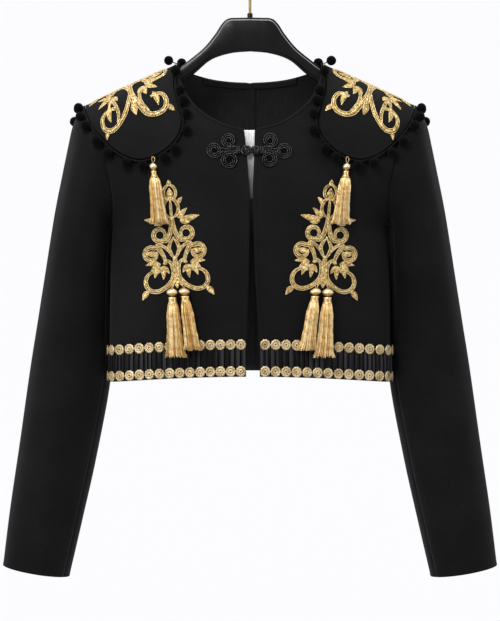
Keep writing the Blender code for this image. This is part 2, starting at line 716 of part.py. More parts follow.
def make_pom_trim(name, side, tree):
    """Braid round the rim with its pom-poms, joined into one solid."""
    rim = rim_line(side, 48)
    line = [clear_of(tree, Vector(at + away * (BRAID_RADIUS + 3 * GAP) - off * 0.5), BRAID_RADIUS + GAP)
            for at, away, off in rim]
    braid = lofted_loop(f"pom_trim_{name}", tube_rings(line, BRAID_RADIUS, 5, closed=True), CORD)
    lengths = np.array([(line[(k + 1) % len(line)] - line[k]).length for k in range(len(line))])
    walked = np.concatenate([[0], np.cumsum(lengths)])
    neck_end, outer_end = walked[7 * len(line) // 8], walked[3 * len(line) // 8]
    spots = [((neck_end + arc) % walked[-1], out, up) for arc, out, up in zip(*POMS_FRONT.values())]
    behind = neck_end - outer_end
    for n in range(int(behind / POM_PITCH)):
        spots.append((outer_end + 14 + (behind - 24) * n / (int(behind / POM_PITCH) - 1), 6.2, 3.2))
    poms = bmesh.new()
    for target, out, up in spots:
        k = int(np.searchsorted(walked, target, side="right")) - 1
        start = line[k].lerp(line[(k + 1) % len(line)], (target - walked[k]) / lengths[k])
        away, off = Vector(rim[k][1]), Vector(rim[k][2])
        centre = clear_of(tree, start + away * out + off * up, POM_RADIUS * 1.08 + GAP)
        add_pom(poms, centre, start)
    mesh = bpy.data.meshes.new("poms")
    poms.to_mesh(mesh)
    poms.free()
    balls = bpy.data.objects.new("poms", mesh)
    bpy.context.collection.objects.link(balls)
    balls.hide_render = True
    balls.display_type = "WIRE"
    union = braid.modifiers.new("poms", "BOOLEAN")
    union.operation = "UNION"
    union.object = balls


def add_pom(shape, centre, seat):
    """Twenty-sided pom-pom with one corner in the braid that carries it."""
    towards = (seat - centre).normalized()
    turn = Vector((0, 0, 1)).rotation_difference(towards).to_matrix().to_4x4()
    turn.translation = centre * MM
    reach = max(POM_RADIUS * 1.08, (seat - centre).length - 0.4)
    made = bmesh.ops.create_icosphere(shape, subdivisions=1, radius=POM_RADIUS * 1.08 * MM, matrix=turn)
    tip = min(made["verts"], key=lambda v: (v.co / MM - seat).length)
    tip.co = (centre + towards * reach) * MM


def lofted_loop(name, rings, finish):
    """Closed ring-shaped solid through rings of points."""
    sides, count = len(rings[0]), len(rings)
    points = [p for ring in rings for p in ring]
    faces = []
    for i in range(count):
        for k in range(sides):
            after = (k + 1) % sides
            ahead = (i + 1) % count
            faces.append((i * sides + k, i * sides + after, ahead * sides + after, ahead * sides + k))
    return make_object(name, points, faces, *finish)


def make_tassels():
    """Tassels: cord, ball, neck and skirt turned about a line that hangs before the cloth."""
    for name, side in SIDES:
        for i, title in enumerate(TASSEL_NAMES):
            row = {column: TASSELS[column][i] for column in TASSELS}
            rings = []
            for share, ball, neck_end, foot in zip(*TASSEL.values()):
                x = row["top_x"] + (row["foot_x"] - row["top_x"]) * share
                z = row["top_z"] + (row["foot_z"] - row["top_z"]) * share
                off = row["off_top"] + (row["off_foot"] - row["off_top"]) * share
                wide = ball * row["ball"] + neck_end * row["neck_end"] + foot * row["foot"]
                deep = wide * (1 - (1 - TASSEL_FLAT) * share)
                thick = row["ball"] + (row["foot"] * TASSEL_FLAT - row["ball"]) * share
                y = body_y(x, z, FRONT) - off - thick
                rings.append([(side * (x + wide * math.cos(a)), y + deep * math.sin(a), z)
                              for a in (2 * math.pi * k / 10 for k in range(10))])
            lofted(f"tassel_{title}_{name}", rings, GOLD_THREAD)


# ---------------------------------------------------------------- the hanger
HANGER_TOP = [(0, -73.6), (29.5, -75.8), (34.7, -79.7), (45.1, -94.9), (59.8, -112.8), (77.1, -127.2),
              (95.0, -140.5)]
HANGER_END = (176.0, -178.6)     # top of an arm's end
HANGER_LOWER = [(172.0, -189.0), (150.0, -186.0), (120.0, -174.5), (91.0, -158.5), (73.0, -146.6),
                (50.0, -128.0), (24.0, -119.6), (0, -117.4)]
HANGER_THICK = 10.0
HANGER_ROUND = 3.6
FERRULE = (3.6, -73.3, -68.0)    # radius, bottom and top
HOOK_WIRE = 1.6
CROOK = 18.0                     # inner radius of the hook's crook
HOOK_STEM_TOP = -50.0
HOOK_END = 205.0                 # angle where the crook ends, 0 right, 90 top


def make_hanger():
    """Arms as a rounded outline, ferrule and wire hook."""
    right = HANGER_TOP + [HANGER_END] + HANGER_LOWER[:-1]
    left = [(-x, z) for x, z in reversed(right[1:])]
    outline = right + [HANGER_LOWER[-1]] + left
    half = HANGER_THICK / 2
    points = [(x, y, z) for y in (-half, half) for x, z in outline]
    count = len(outline)
    faces = [tuple(range(count)), tuple(count + k for k in reversed(range(count)))]
    faces += [(k, (k + 1) % count, count + (k + 1) % count, count + k) for k in range(count)]
    arms = make_object("hanger_arms", points, faces, *BLACK_PLASTIC)
    rounded = arms.modifiers.new("rounded", "BEVEL")
    rounded.width = HANGER_ROUND * MM
    rounded.segments = 2
    rounded.limit_method = "ANGLE"
    rounded.angle_limit = math.radians(60)

    radius, bottom, top = FERRULE
    profile = [(bottom, radius), (top - 0.8, radius), (top, radius - 0.8)]
    circle = [2 * math.pi * k / 20 for k in range(20)]
    lofted("hanger_ferrule", [[(r * math.cos(a), r * math.sin(a), z) for a in circle] for z, r in profile],
           BLACK_PLASTIC)

    line = CROOK + HOOK_WIRE
    swing = ((HOOK_STEM_TOP + CROOK) ** 2 - line ** 2) / (2 * line)
    lean = math.atan2(HOOK_STEM_TOP + CROOK, swing)
    route = [(0, 0, top + GAP), (0, 0, HOOK_STEM_TOP)]
    bend = math.pi + lean
    route += [(swing * (1 - math.cos(bend * k / 5)), 0, HOOK_STEM_TOP + swing * math.sin(bend * k / 5))
              for k in range(1, 5)]
    start, stop = lean, math.radians(HOOK_END)
    route += [(line * math.cos(a), 0, -CROOK + line * math.sin(a))
              for a in (start + (stop - start) * k / 22 for k in range(23))]
    lofted("hanger_hook", tube_rings(route, HOOK_WIRE, 10), BRASS)


def clear_scene():
    for each in list(bpy.data.objects):
        bpy.data.objects.remove(each, do_unlink=True)


def main():
    clear_scene()
    cloth = make_body() + make_sleeves()
    make_neck_facing()
    make_epaulettes(cloth)
    make_hem_trim()
    make_appliques()
    make_frogs()
    make_tassels()
    make_hanger()


main()
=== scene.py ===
# %% [markdown]
# # A matador jacket on its hanger
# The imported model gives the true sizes: closed solids for the cloth, the trims and the hanger. This
# lesson keeps every size and place, and adds what the eye expects: weave, turned edges, pressed seams,
# pom-poms, corded embroidery, tassels, lace medallions and a pleated satin band.
#
# Each step says what the piece is on a real jacket, how it could be made, and why this way was chosen.

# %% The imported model
import math

import bmesh
import bpy
import numpy as np
from mathutils import Matrix, Vector, noise
from mathutils.bvhtree import BVHTree


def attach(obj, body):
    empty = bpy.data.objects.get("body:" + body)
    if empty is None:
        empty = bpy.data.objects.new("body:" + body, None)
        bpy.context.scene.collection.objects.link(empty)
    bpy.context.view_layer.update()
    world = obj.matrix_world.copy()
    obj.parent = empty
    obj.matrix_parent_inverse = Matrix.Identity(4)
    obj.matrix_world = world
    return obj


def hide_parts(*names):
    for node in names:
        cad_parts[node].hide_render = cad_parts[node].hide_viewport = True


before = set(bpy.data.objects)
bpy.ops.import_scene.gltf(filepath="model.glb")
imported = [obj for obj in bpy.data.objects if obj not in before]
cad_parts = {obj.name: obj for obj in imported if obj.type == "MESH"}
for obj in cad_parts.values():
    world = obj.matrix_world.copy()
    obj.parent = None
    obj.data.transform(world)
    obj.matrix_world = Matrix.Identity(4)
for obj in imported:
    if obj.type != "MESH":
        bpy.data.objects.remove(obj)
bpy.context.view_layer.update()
MM = 0.001  # tables are in millimetres, meshes in metres
SIDES = (("right", -1), ("left", 1))  # the wearer's right is at -X
FRONT, BACK = -1, 1  # the front faces -Y


def new_object(name, data):
    """New object in the scene."""
    made = bpy.data.objects.new(name, data)
    bpy.context.collection.objects.link(made)
    return made


# %% [markdown]
# ## Camera, floor and light
# Product pictures of clothes are taken level with the middle of the garment, with a long lens from a
# few metres away, so that straight seams stay straight. The backdrop is one pale round sweep: a floor that
# curves up into a wall on every side, lit through from behind so that no edge or shadow shows on it.
# The wall glows less in front of the jacket, so the cloth keeps its shading. Large soft lights keep
# black cloth readable: one high in front for the form, weaker ones from the sides for the edges.

# %% Camera
CAMERA_PLACE = Vector((0, -2.6, -0.4073))
CAMERA_AIM = Vector((0, 0, -0.45345))
VIEW_HEIGHT = 0.8073  # what the frame takes in at the hanger's plane, in metres

camera_data = bpy.data.cameras.new("camera")
camera_data.sensor_fit = "VERTICAL"
camera_data.sensor_height = 24
camera_data.lens = camera_data.sensor_height * -CAMERA_PLACE.y / VIEW_HEIGHT
camera = new_object("camera", camera_data)
camera.location = CAMERA_PLACE
camera.rotation_euler = (CAMERA_AIM - CAMERA_PLACE).to_track_quat("-Z", "Y").to_euler()
bpy.context.scene.camera = camera
print("lens:", round(camera_data.lens, 1), "mm")

# %% Nodes and colours
def srgb(text):
    """Linear colour for a hex string such as '#c9a455'."""
    parts = (int(text[k:k + 2], 16) / 255 for k in (1, 3, 5))
    return (*(p / 12.92 if p <= 0.04045 else ((p + 0.055) / 1.055) ** 2.4 for p in parts), 1)


def add(tree, kind, links=None, **settings):
    """Add a node: settings are its properties, links its inputs by name or number.

    Each input takes a value, a socket, or a node, which stands for its first output.
    """
    made = tree.nodes.new(kind)
    for name, value in settings.items():
        setattr(made, name, value)
    for name, value in (links or {}).items():
        value = value.outputs[0] if isinstance(value, bpy.types.Node) else value
        if isinstance(value, bpy.types.NodeSocket):
            tree.links.new(value, made.inputs[name])
        else:
            made.inputs[name].default_value = value
    return made


def surface(tree, shader, factor, stops, height=None, strength=0.0, distance=0.0):
    """Base colour from a factor through stops of place and hex colour, and maybe a bump from height."""
    colours = add(tree, "ShaderNodeValToRGB", {"Fac": factor})
    points = colours.color_ramp.elements
    while len(points) < len(stops):
        points.new(1)
    for point, (place, colour) in zip(points, stops):
        point.position, point.color = place, srgb(colour)
    tree.links.new(colours.outputs["Color"], shader.inputs["Base Color"])
    if height is not None:
        bump = add(tree, "ShaderNodeBump", {"Height": height, "Strength": strength, "Distance": distance})
        tree.links.new(bump.outputs["Normal"], shader.inputs["Normal"])


def material(name, **shader):
    """New material with its Principled shader's sockets set."""
    made = bpy.data.materials.new(name)
    made.use_nodes = True
    principled = made.node_tree.nodes["Principled BSDF"]
    for key, value in shader.items():
        principled.inputs[key.replace("_", " ")].default_value = value
    return made, made.node_tree, principled

# %% Backdrop and lights
def round_faces(rows, columns, first=0, caps=2):
    """Faces between rings of points, each ring closed, with a cap on the first ring or on both ends."""
    at = first + np.arange(rows * columns).reshape(rows, columns)
    ahead = np.roll(at, -1, axis=1)
    quads = np.stack([at[:-1], ahead[:-1], ahead[1:], at[1:]], -1).reshape(-1, 4)
    return [tuple(q) for q in quads] + [tuple(at[0]), tuple(at[-1][::-1])][:caps]


# Radius and height of each ring of the sweep, in metres.
SWEEP = [(0.5, -2.2), (3.0, -2.2), (3.6, -2.05), (4.0, -1.6), (4.1, -1.0), (4.1, 3.0)]
ROUND_STEPS = 72

turns = [2 * math.pi * k / ROUND_STEPS for k in range(ROUND_STEPS)]
backdrop_mesh = bpy.data.meshes.new("backdrop")
backdrop_mesh.from_pydata([(r * math.cos(t), r * math.sin(t), z) for r, z in SWEEP for t in turns], [],
    round_faces(len(SWEEP), ROUND_STEPS, caps=1))
backdrop_mesh.shade_smooth()
backdrop = new_object("backdrop", backdrop_mesh)
paper, tree, shader = material("pale_paper_backdrop_lit_through", Base_Color=srgb("#4e4e50"), Roughness=0.9,
    Emission_Color=srgb("#fbfbfd"))
place = add(tree, "ShaderNodeTexCoord").outputs["Object"]
depth_there = add(tree, "ShaderNodeSeparateXYZ", {0: place}).outputs["Y"]
glow = add(tree, "ShaderNodeMapRange", {"Value": depth_there, "From Min": -1.5, "From Max": 1.0,
    "To Min": 0.45, "To Max": 0.92})
tree.links.new(glow.outputs["Result"], shader.inputs["Emission Strength"])
backdrop_mesh.materials.append(paper)

world = bpy.data.worlds.new("studio")
bpy.context.scene.world = world
world.use_nodes = True
world.node_tree.nodes["Background"].inputs["Color"].default_value = srgb("#fbfbfd")
world.node_tree.nodes["Background"].inputs["Strength"].default_value = 0.32
bpy.context.scene.view_settings.view_transform = "Standard"

LIGHTS = [("high_front", (-0.9, -2.0, 1.3), 0.9, 46), ("left", (-2.3, -1.0, 0.2), 1.0, 15),
    ("right", (2.3, -1.3, 0.3), 1.0, 13), ("wall", (0, 0.1, 2.4), 2.4, 60)]
for name, place, size, power in LIGHTS:
    light = bpy.data.lights.new(name, "AREA")
    light.size, light.energy = size, power
    lamp = new_object(name, light)
    lamp.location = place
    lamp.visible_camera = False
    lamp.rotation_euler = (CAMERA_AIM - Vector(place)).to_track_quat("-Z", "Y").to_euler()
print("lights:", ", ".join(light[0] for light in LIGHTS))

# %% [markdown]
# ## The form under everything
# Everything on the jacket follows the cloth: bands, cords and tassels lie on it. So the cloth's
# surface comes first, as a few functions: where the outer face lies for a place seen from the front,
# for a place round a sleeve, and for a place on a shoulder piece. They work on whole arrays of places
# at once, which keeps fine grids quick. The tables are those that the solids were made from.

# %% Tables and smooth curves
def table(names, rows):
    """A table's rows as one array for each named column."""
    return dict(zip(names.split(), np.array(rows, float).T))


def spline(knots, values, at):
    """Smooth curve through the values at the knots, read at one place or many."""
    knots, values = np.asarray(knots, float), np.asarray(values, float)
    slopes = np.gradient(values, knots, axis=0)
    at = np.clip(at, knots[0], knots[-1])
    i = np.clip(np.searchsorted(knots, at, side="right") - 1, 0, len(knots) - 2)
    span = knots[i + 1] - knots[i]
    s = (at - knots[i]) / span
    if values.ndim > 1:
        span, s = np.asarray(span)[..., None], np.asarray(s)[..., None]
    start = values[i] * (1 + 2 * s) * (1 - s) ** 2 + slopes[i] * span * s * (1 - s) ** 2
    end = values[i + 1] * (3 - 2 * s) * s ** 2 + slopes[i + 1] * span * (s - 1) * s ** 2
    return start + end


def read(source, column, at):
    """A named column of a table at places along its first column."""
    return spline(next(iter(source.values())), source[column], at)


def walk_along(points):
    """Distance walked along a line to each of its points."""
    return np.concatenate([[0], np.cumsum(np.linalg.norm(np.diff(points, axis=0), axis=1))])


def path(rows, share):
    """Points at shares of the way along a smooth line through the rows."""
    walk = walk_along(rows)
    return spline(walk / walk[-1], rows, share)


def unit(vectors):
    """Vectors made one long, along the last axis."""
    return vectors / np.maximum(np.linalg.norm(vectors, axis=-1, keepdims=True), 1e-9)

# %% Sizes of the body
CLOTH = 1.5  # wall of the cloth, in mm
GAP = 0.3  # between pieces at a seam
HALF_GAP = GAP / 2
ROUND = 2.2  # exponent of the level sections

MIDDLE = table("z front back", [(-546, 88, 82), (-450, 87, 81), (-346, 85, 79), (-262, 79, 77),
    (-223, 70, 70), (-180, 55, 59), (-137, 28, 40)])
SIDE = table("z x y", [(-546, 181.5, -8), (-476, 181.8, -6), (-400, 180.6, -3), (-346, 178.8, 0)])
EDGE = table("z right left", [(-535.2, 5.0, 12.4), (-476, 3.4, 10.4), (-401, 1.5, 6.0), (-348, 0.6, 4.6),
    (-306, 0.9, 3.3), (-257, 3.8, 5.2), (-222.6, 7.7, 6.0)])
UNDERARM = (178.8, -346.0)
TIP = (189.0, -179.7)
NECK = (95.0, -136.8)
NECK_FRONT_Z, NECK_BACK_Z = -222.6, -153.3
HEM_Z, HEM_DROP = -535.2, 9.8
ARMHOLE_MIDDLE, ARMHOLE_HALF = (UNDERARM[1] + TIP[1]) / 2, (TIP[1] - UNDERARM[1]) / 2  # its heights
ARMHOLE_DEPTH = {FRONT: 53.0, BACK: 54.0}
ARMHOLE = table("z x", [(-346, 178.8), (-323, 175.6), (-301, 176.7), (-266, 183.0), (-225, 187.0),
    (-179.7, 189.0)])
NECK_FRONT = [(23.7, -218.8), (36.3, -214.1), (49.3, -207.4), (62.4, -197.7), (75.6, -184.3),
    (88.2, -159.1), NECK]
NECK_BACK = [(HALF_GAP, NECK_BACK_Z), (26, -152.2), (51.4, -149.1), (73.9, -143.6), NECK]

# %% The body's outer face
def side_y(z):
    return read(SIDE, "y", z)


def depth(z, face):
    """How far the middle of one face stands from the side seam's plane."""
    return read(MIDDLE, "front" if face == FRONT else "back", z) - face * side_y(z)


def armhole_y(z, face):
    """Depth of the armhole's oval at height z."""
    return ARMHOLE_DEPTH[face] * np.sqrt(np.clip(1 - ((z - ARMHOLE_MIDDLE) / ARMHOLE_HALF) ** 2, 0, 1))


def half_width(z, face):
    """Half width of a level section: to the side seam, through the armhole, or to the shoulder."""
    z = np.asarray(z, float)
    shoulder = NECK[0] + (z - NECK[1]) * (TIP[0] - NECK[0]) / (TIP[1] - NECK[1])
    reach = np.clip(armhole_y(z, face) / depth(z, face), 0, 0.999)
    through = read(ARMHOLE, "x", z) / (1 - reach ** ROUND) ** (1 / ROUND)
    return np.where(z <= UNDERARM[1], read(SIDE, "x", z), np.where(z >= TIP[1], shoulder, through))


# Soft folds of the hanging cloth, by face and side: a line from x0, z0 to x1, z1 seen from the front,
# how wide the fold is and how far it stands up (or dips, below 0).
FOLDS = {
    (FRONT, -1): [(172, -300, 128, -372, 10, 1.1), (174, -322, 134, -430, 11, -1.0),
        (158, -392, 150, -500, 15, 1.3), (62, -300, 40, -470, 20, 0.9), (22, -270, 16, -440, 13, -0.8)],
    (FRONT, 1): [(172, -296, 124, -362, 10, 1.2), (174, -325, 138, -420, 12, -0.9),
        (150, -400, 146, -505, 14, 1.2), (66, -310, 36, -480, 19, 0.8), (24, -275, 20, -430, 12, -0.9)],
    (BACK, -1): [(172, -300, 120, -380, 12, 1.4), (140, -230, 60, -300, 16, 1.1),
        (92, -330, 84, -505, 17, 1.5), (30, -200, 26, -420, 18, -1.0)],
    (BACK, 1): [(172, -304, 126, -372, 11, 1.3), (142, -236, 64, -312, 17, -1.1),
        (86, -340, 92, -500, 18, 1.4), (140, -380, 150, -510, 14, -1.2)]}


def fold(share, off, wide, high, past, fading):
    """Height of one fold, by share of its length and distance off its line; it fades past its ends."""
    fade = np.clip(np.minimum(share + past, 1 + past - share) / fading, 0, 1)
    return high * np.exp(-(off / wide) ** 2) * fade ** 2 * (3 - 2 * fade)


def fold_lift(x, z, side, face):
    """How far the folds lift the cloth at x (from the middle) and z."""
    lift = 0 * x + 0 * z
    for x0, z0, x1, z1, wide, high in FOLDS[face, side]:
        across, up = x1 - x0, z1 - z0
        length = math.hypot(across, up)
        share = ((x - x0) * across + (z - z0) * up) / length ** 2
        off = ((x - x0) * up - (z - z0) * across) / length
        lift = lift + fold(share, off, wide, high, 0.15, 0.4)
    return lift


def body_y(x, z, side, face):
    """Outer face of the body over the front view, folds included."""
    x = np.abs(x)
    across = np.clip(x / half_width(z, face), 0, 1)
    still = 1 - across ** 4
    round_form = side_y(z) + face * depth(z, face) * (1 - across ** ROUND) ** (1 / ROUND)
    return round_form + face * still * fold_lift(x, z, side, face)


def on_body(side, x, z, lift=0.0, face=FRONT):
    """Points on the body at x from the middle and z, lifted off it, and their outward normals."""
    x, z = np.broadcast_arrays(np.asarray(x, float), np.asarray(z, float))
    step = 0.6
    y = body_y(x, z, side, face)
    over_x = (body_y(x + step, z, side, face) - body_y(x - step, z, side, face)) / (2 * step)
    over_z = (body_y(x, z + step, side, face) - body_y(x, z - step, side, face)) / (2 * step)
    found = unit(np.stack([-side * face * over_x, face * np.ones_like(x), -face * over_z], -1))
    return np.stack([side * x, y, z], -1) + found * np.asarray(lift)[..., None], found


def hem_z(x):
    return HEM_Z - HEM_DROP * (x / SIDE["x"][0]) ** 2


half_round = on_body(1, np.array([0.0, 90.0, 170.0]), np.array([-400.0] * 3))[0]
print("front face at z = -400 mm, x = 0, 90 and 170:", half_round[:, 1].round(1))

# %% Edges of a body panel
def inner_edge(side, face, share):
    """Inner edge of a panel, hem to neck point, level with the underarm at 0.5."""
    share = np.asarray(share, float)
    if face == FRONT:
        name, corner, line, turn = ("right" if side < 0 else "left"), NECK_FRONT_Z, NECK_FRONT, 0.68
        edge_x = lambda z: read(EDGE, name, z)
    else:
        corner, line, turn = NECK_BACK_Z, NECK_BACK[1:], 0.84
        edge_x = lambda z: np.full_like(np.asarray(z, float), HALF_GAP)
    foot = hem_z(0)
    z = np.where(share <= 0.5, foot + (UNDERARM[1] - foot) * share / 0.5,
        UNDERARM[1] + (corner - UNDERARM[1]) * (share - 0.5) / (turn - 0.5))
    straight = np.stack([edge_x(z), z], -1)
    curved = path([(float(edge_x(corner)), corner)] + line, np.clip((share - turn) / (1 - turn), 0, 1))
    return np.where((share <= turn)[..., None], straight, curved)


def outer_edge(share):
    """Outer edge of a panel: side seam to 0.5, then round the armhole to the shoulder tip."""
    share = np.asarray(share, float)
    foot = hem_z(SIDE["x"][0])
    low = foot + (UNDERARM[1] - foot) * share / 0.5
    turned = math.pi * (1 - (share - 0.5) / 0.5)
    high = ARMHOLE_MIDDLE + ARMHOLE_HALF * np.cos(turned)
    z = np.where(share <= 0.5, low, high)
    return np.stack([np.where(share <= 0.5, read(SIDE, "x", low), read(ARMHOLE, "x", high)), z], -1)

# %% Grids, their normals and their cut lengths
def normals(grid, outward):
    """Unit normal at each point of a grid, on the side that outward names at its middle."""
    found = unit(np.cross(np.gradient(grid, axis=0), np.gradient(grid, axis=1)))
    middle = found[grid.shape[0] // 2, grid.shape[1] // 2]
    return found if middle @ np.array(outward, float) > 0 else -found


def walked(grid, axis):
    """Distance walked along one axis of a grid, in its own unit, from 0 at the first row or column."""
    steps = np.linalg.norm(np.diff(grid, axis=axis), axis=2)
    return np.insert(np.cumsum(steps, axis=axis), 0, 0, axis=axis)


def mesh_object(name, points, faces, finish, cut=None, smooth=True):
    """Mesh object with points in mm; cut is a place in mm for each point, kept as its UV map."""
    mesh = bpy.data.meshes.new(name)
    mesh.from_pydata((np.asarray(points) * MM).tolist(), [], faces)
    if cut is not None:
        layer = mesh.uv_layers.new(name="cut")
        corners = np.empty(len(mesh.loops), dtype=np.int32)
        mesh.loops.foreach_get("vertex_index", corners)
        layer.data.foreach_set("uv", (np.asarray(cut, np.float32)[corners] * MM).ravel())
    if smooth:
        mesh.shade_smooth()
    mesh.materials.append(finish)
    return new_object(name, mesh)


def cloth_wall(name, grid, found, finish, low=-CLOTH, high=0.0, cut=None, inside=None):
    """Closed cloth between two offsets of a grid, with a soft half-round edge and maybe a lining."""
    rows, columns = grid.shape[:2]
    count = rows * columns
    if cut is None:
        cut = np.stack([walked(grid, 1), walked(grid, 0)], -1)
    first = np.arange(count).reshape(rows, columns)
    quads = np.stack([first[:-1, :-1], first[:-1, 1:], first[1:, 1:], first[1:, :-1]], -1).reshape(-1, 4)
    rim = np.concatenate([first[0, :-1], first[:-1, -1], first[-1, :0:-1], first[:0:-1, 0]])
    flat_grid, flat_found = grid.reshape(-1, 3), found.reshape(-1, 3)
    line = flat_grid[rim]
    away = unit(np.cross(np.roll(line, -1, axis=0) - np.roll(line, 1, axis=0), flat_found[rim]))
    if ((line - flat_grid.mean(axis=0)) * away).sum() < 0:
        away = -away
    stand_out = min(0.45 * (high - low), HALF_GAP * 0.9)
    bulge = line + flat_found[rim] * (low + high) / 2 + away * stand_out
    points = np.concatenate([flat_grid + flat_found * high, flat_grid + flat_found * low, bulge])
    faces = [tuple(q) for q in quads] + [tuple(count + q[::-1]) for q in quads]
    middle = 2 * count + np.arange(len(rim))
    for a, b, mid_a, mid_b in zip(rim, np.roll(rim, -1), middle, np.roll(middle, -1)):
        faces += [(b, a, mid_a, mid_b), (mid_b, mid_a, count + a, count + b)]
    flat_cut = cut.reshape(-1, 2)
    made = mesh_object(name, points, faces, finish, np.concatenate([flat_cut, flat_cut, flat_cut[rim]]))
    if inside is not None:
        made.data.materials.append(inside)
        for polygon in made.data.polygons[len(quads):2 * len(quads)]:
            polygon.material_index = 1
    return face_out(made)


def face_out(obj):
    """Turn a closed mesh's faces outwards."""
    body = bmesh.new()
    body.from_mesh(obj.data)
    bmesh.ops.recalc_face_normals(body, faces=body.faces)
    body.to_mesh(obj.data)
    body.free()
    return obj


def settle(obj, slot, *nodes):
    """A finished piece rides on the one body and stands for its solids; its slot is not used."""
    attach(obj, "root")
    if nodes:
        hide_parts(*nodes)
    return obj

# %% [markdown]
# ## Black wool cloth
# A matador jacket is cut from a firm wool gabardine: a fine diagonal twill, matt, with a short nap
# that catches light at the edges. The twill's ribs are 0.4 mm apart, too fine to show from a few
# metres, so they are drawn 0.9 mm apart and kept shallow. Slow changes of tone, some
# centimetres across, are what pressing and handling leave.

# %% Wool
def thread_place(tree, scale, turn=0.0):
    """The piece's cut place in mm, turned and scaled, for patterns that follow the cloth."""
    uv = add(tree, "ShaderNodeUVMap", uv_map="cut")
    return add(tree, "ShaderNodeMapping", {"Vector": uv, "Rotation": (0, 0, turn),
        "Scale": tuple(1000 * s for s in scale)}).outputs["Vector"]


wool, tree, shader = material("black_wool_gabardine_pressed", Roughness=0.8, Specular_IOR_Level=0.11,
    Sheen_Weight=0.03, Sheen_Roughness=0.45, IOR=1.45)
place = add(tree, "ShaderNodeTexCoord").outputs["Object"]
TWILL = 0.9  # distance between drawn ribs, in mm
ribs = add(tree, "ShaderNodeTexWave", {"Vector": thread_place(tree, (1, 1, 1), math.radians(27)),
    "Scale": 0.314 / TWILL, "Distortion": 0.6, "Detail": 1.0, "Detail Scale": 2.0}, wave_type="BANDS",
    bands_direction="X")
slubs = add(tree, "ShaderNodeTexNoise", {"Vector": thread_place(tree, (0.55, 0.18, 1)), "Scale": 1.0,
    "Detail": 3.0, "Roughness": 0.6})
clouds = add(tree, "ShaderNodeTexNoise", {"Vector": place, "Scale": 16.0, "Detail": 2.0})
tone = add(tree, "ShaderNodeMath", {0: clouds, 1: 0.45}, operation="MULTIPLY")
tone = add(tree, "ShaderNodeMath", {0: slubs, 1: 0.55, 2: tone}, operation="MULTIPLY_ADD")
height = add(tree, "ShaderNodeMath", {0: slubs, 1: 0.9, 2: ribs.outputs["Fac"]}, operation="MULTIPLY_ADD")
surface(tree, shader, tone, [(0.3, "#0a0a0b"), (0.5, "#101011"), (0.72, "#171719")], height, 0.35, 0.00018)
print("wool: ribs", TWILL, "mm apart")

# %% Lining
# A smoother, thinner twill faces the inside; its colour is painted a shade lighter than the wool, as light
# reaching into the shaded inside of the neck.
lining, tree, shader = material("black_lining_twill_woven", Roughness=0.6, Specular_IOR_Level=0.2)
tone = add(tree, "ShaderNodeTexNoise", {"Vector": thread_place(tree, (0.5, 0.05, 1)), "Scale": 1.0,
    "Detail": 3.0})
surface(tree, shader, tone, [(0.3, "#1a1a1b"), (0.7, "#252526")], tone, 0.2, 0.0001)
print("lining:", lining.name)

# %% [markdown]
# ## Fronts and backs
# Each front and back is one panel of cloth from hem to shoulder. A real panel is flat cloth shaped by
# its seams, so here it is a grid of rows from hem to shoulder, shell thick, that follows the form. Its
# neck and front edges are turned and understitched: a low roll that ends in a fine groove, 5.6 mm in.
# Side and armhole seams dip a little, as pressed seams do. The cut lengths walked along the grid
# become the UV map, so the twill runs true on every panel.

# %% Panels
TURNED = 5.6  # width of a turned edge, to its line of understitching
EDGE_STEPS = np.array([0, 0.4, 1.0, 1.9, 3.0, 4.2, 5.0, 5.6, 6.2, 7.2])
PANEL_ROWS, PANEL_COLUMNS = 112, 60


def turned_edge(distance, high):
    """Height of a turned and understitched edge at a distance in from it."""
    roll = high * np.sin(np.pi * np.clip(distance / TURNED, 0, 1)) ** 0.7
    return roll - 0.4 * high * np.exp(-((distance - TURNED) / 0.55) ** 2)


def panel(side, face):
    """Grid of a panel, its normals and its cut places."""
    share = np.linspace(0, 1, PANEL_ROWS + 1)
    inner, outer = inner_edge(side, face, share), outer_edge(share)
    chord = np.linalg.norm(outer - inner, axis=1)[:, None]
    near = EDGE_STEPS[None, :] / chord
    u = np.linspace(0, 1, PANEL_COLUMNS + 1)[None, 1:]
    straight = np.clip((share - 0.5) / 0.25, 0, 1)[:, None]
    bent = np.sin(u * math.pi / 2)
    far = near[:, -1:] + (1 - near[:, -1:]) * (bent + (u - bent) * straight)
    across = np.concatenate([near, far], axis=1)[..., None]
    flat = inner[:, None, :] * (1 - across) + outer[:, None, :] * across
    x, z = flat[..., 0], flat[..., 1]
    z[0] = hem_z(x[0])
    y = body_y(x, z, side, face)
    seam_y = side_y(z) + face * HALF_GAP
    y[-1] = seam_y[-1]
    y[share <= 0.5, -1] = seam_y[share <= 0.5, -1]
    grid = np.stack([side * x, y, z], -1)
    found = normals(grid, (0, face, 0))
    in_from_edge, up = walked(grid, 1), walked(grid, 0)
    from_seam = in_from_edge[:, -1:] - in_from_edge
    lift = turned_edge(in_from_edge, 0.55 if face == FRONT else 0.35)
    lift -= 0.25 * np.exp(-(from_seam / 2.2) ** 2)
    if face == BACK:
        lift = np.where(share[:, None] < 0.84, -0.5 * np.exp(-(in_from_edge / 1.6) ** 2), lift)
    grid = grid + found * lift[..., None]
    grid[share <= 0.5, -1, 1] = seam_y[share <= 0.5, -1]
    found = normals(grid, (0, face, 0))
    for i, j in ((share <= 0.5, -1), (-1, slice(None))):
        found[i, j, 1] = 0
        found[i, j] = unit(found[i, j])
    if face == BACK:
        found[share < 0.84, 0, 0] = 0
    cut = np.stack([side * in_from_edge, up], -1)
    return grid, found, cut


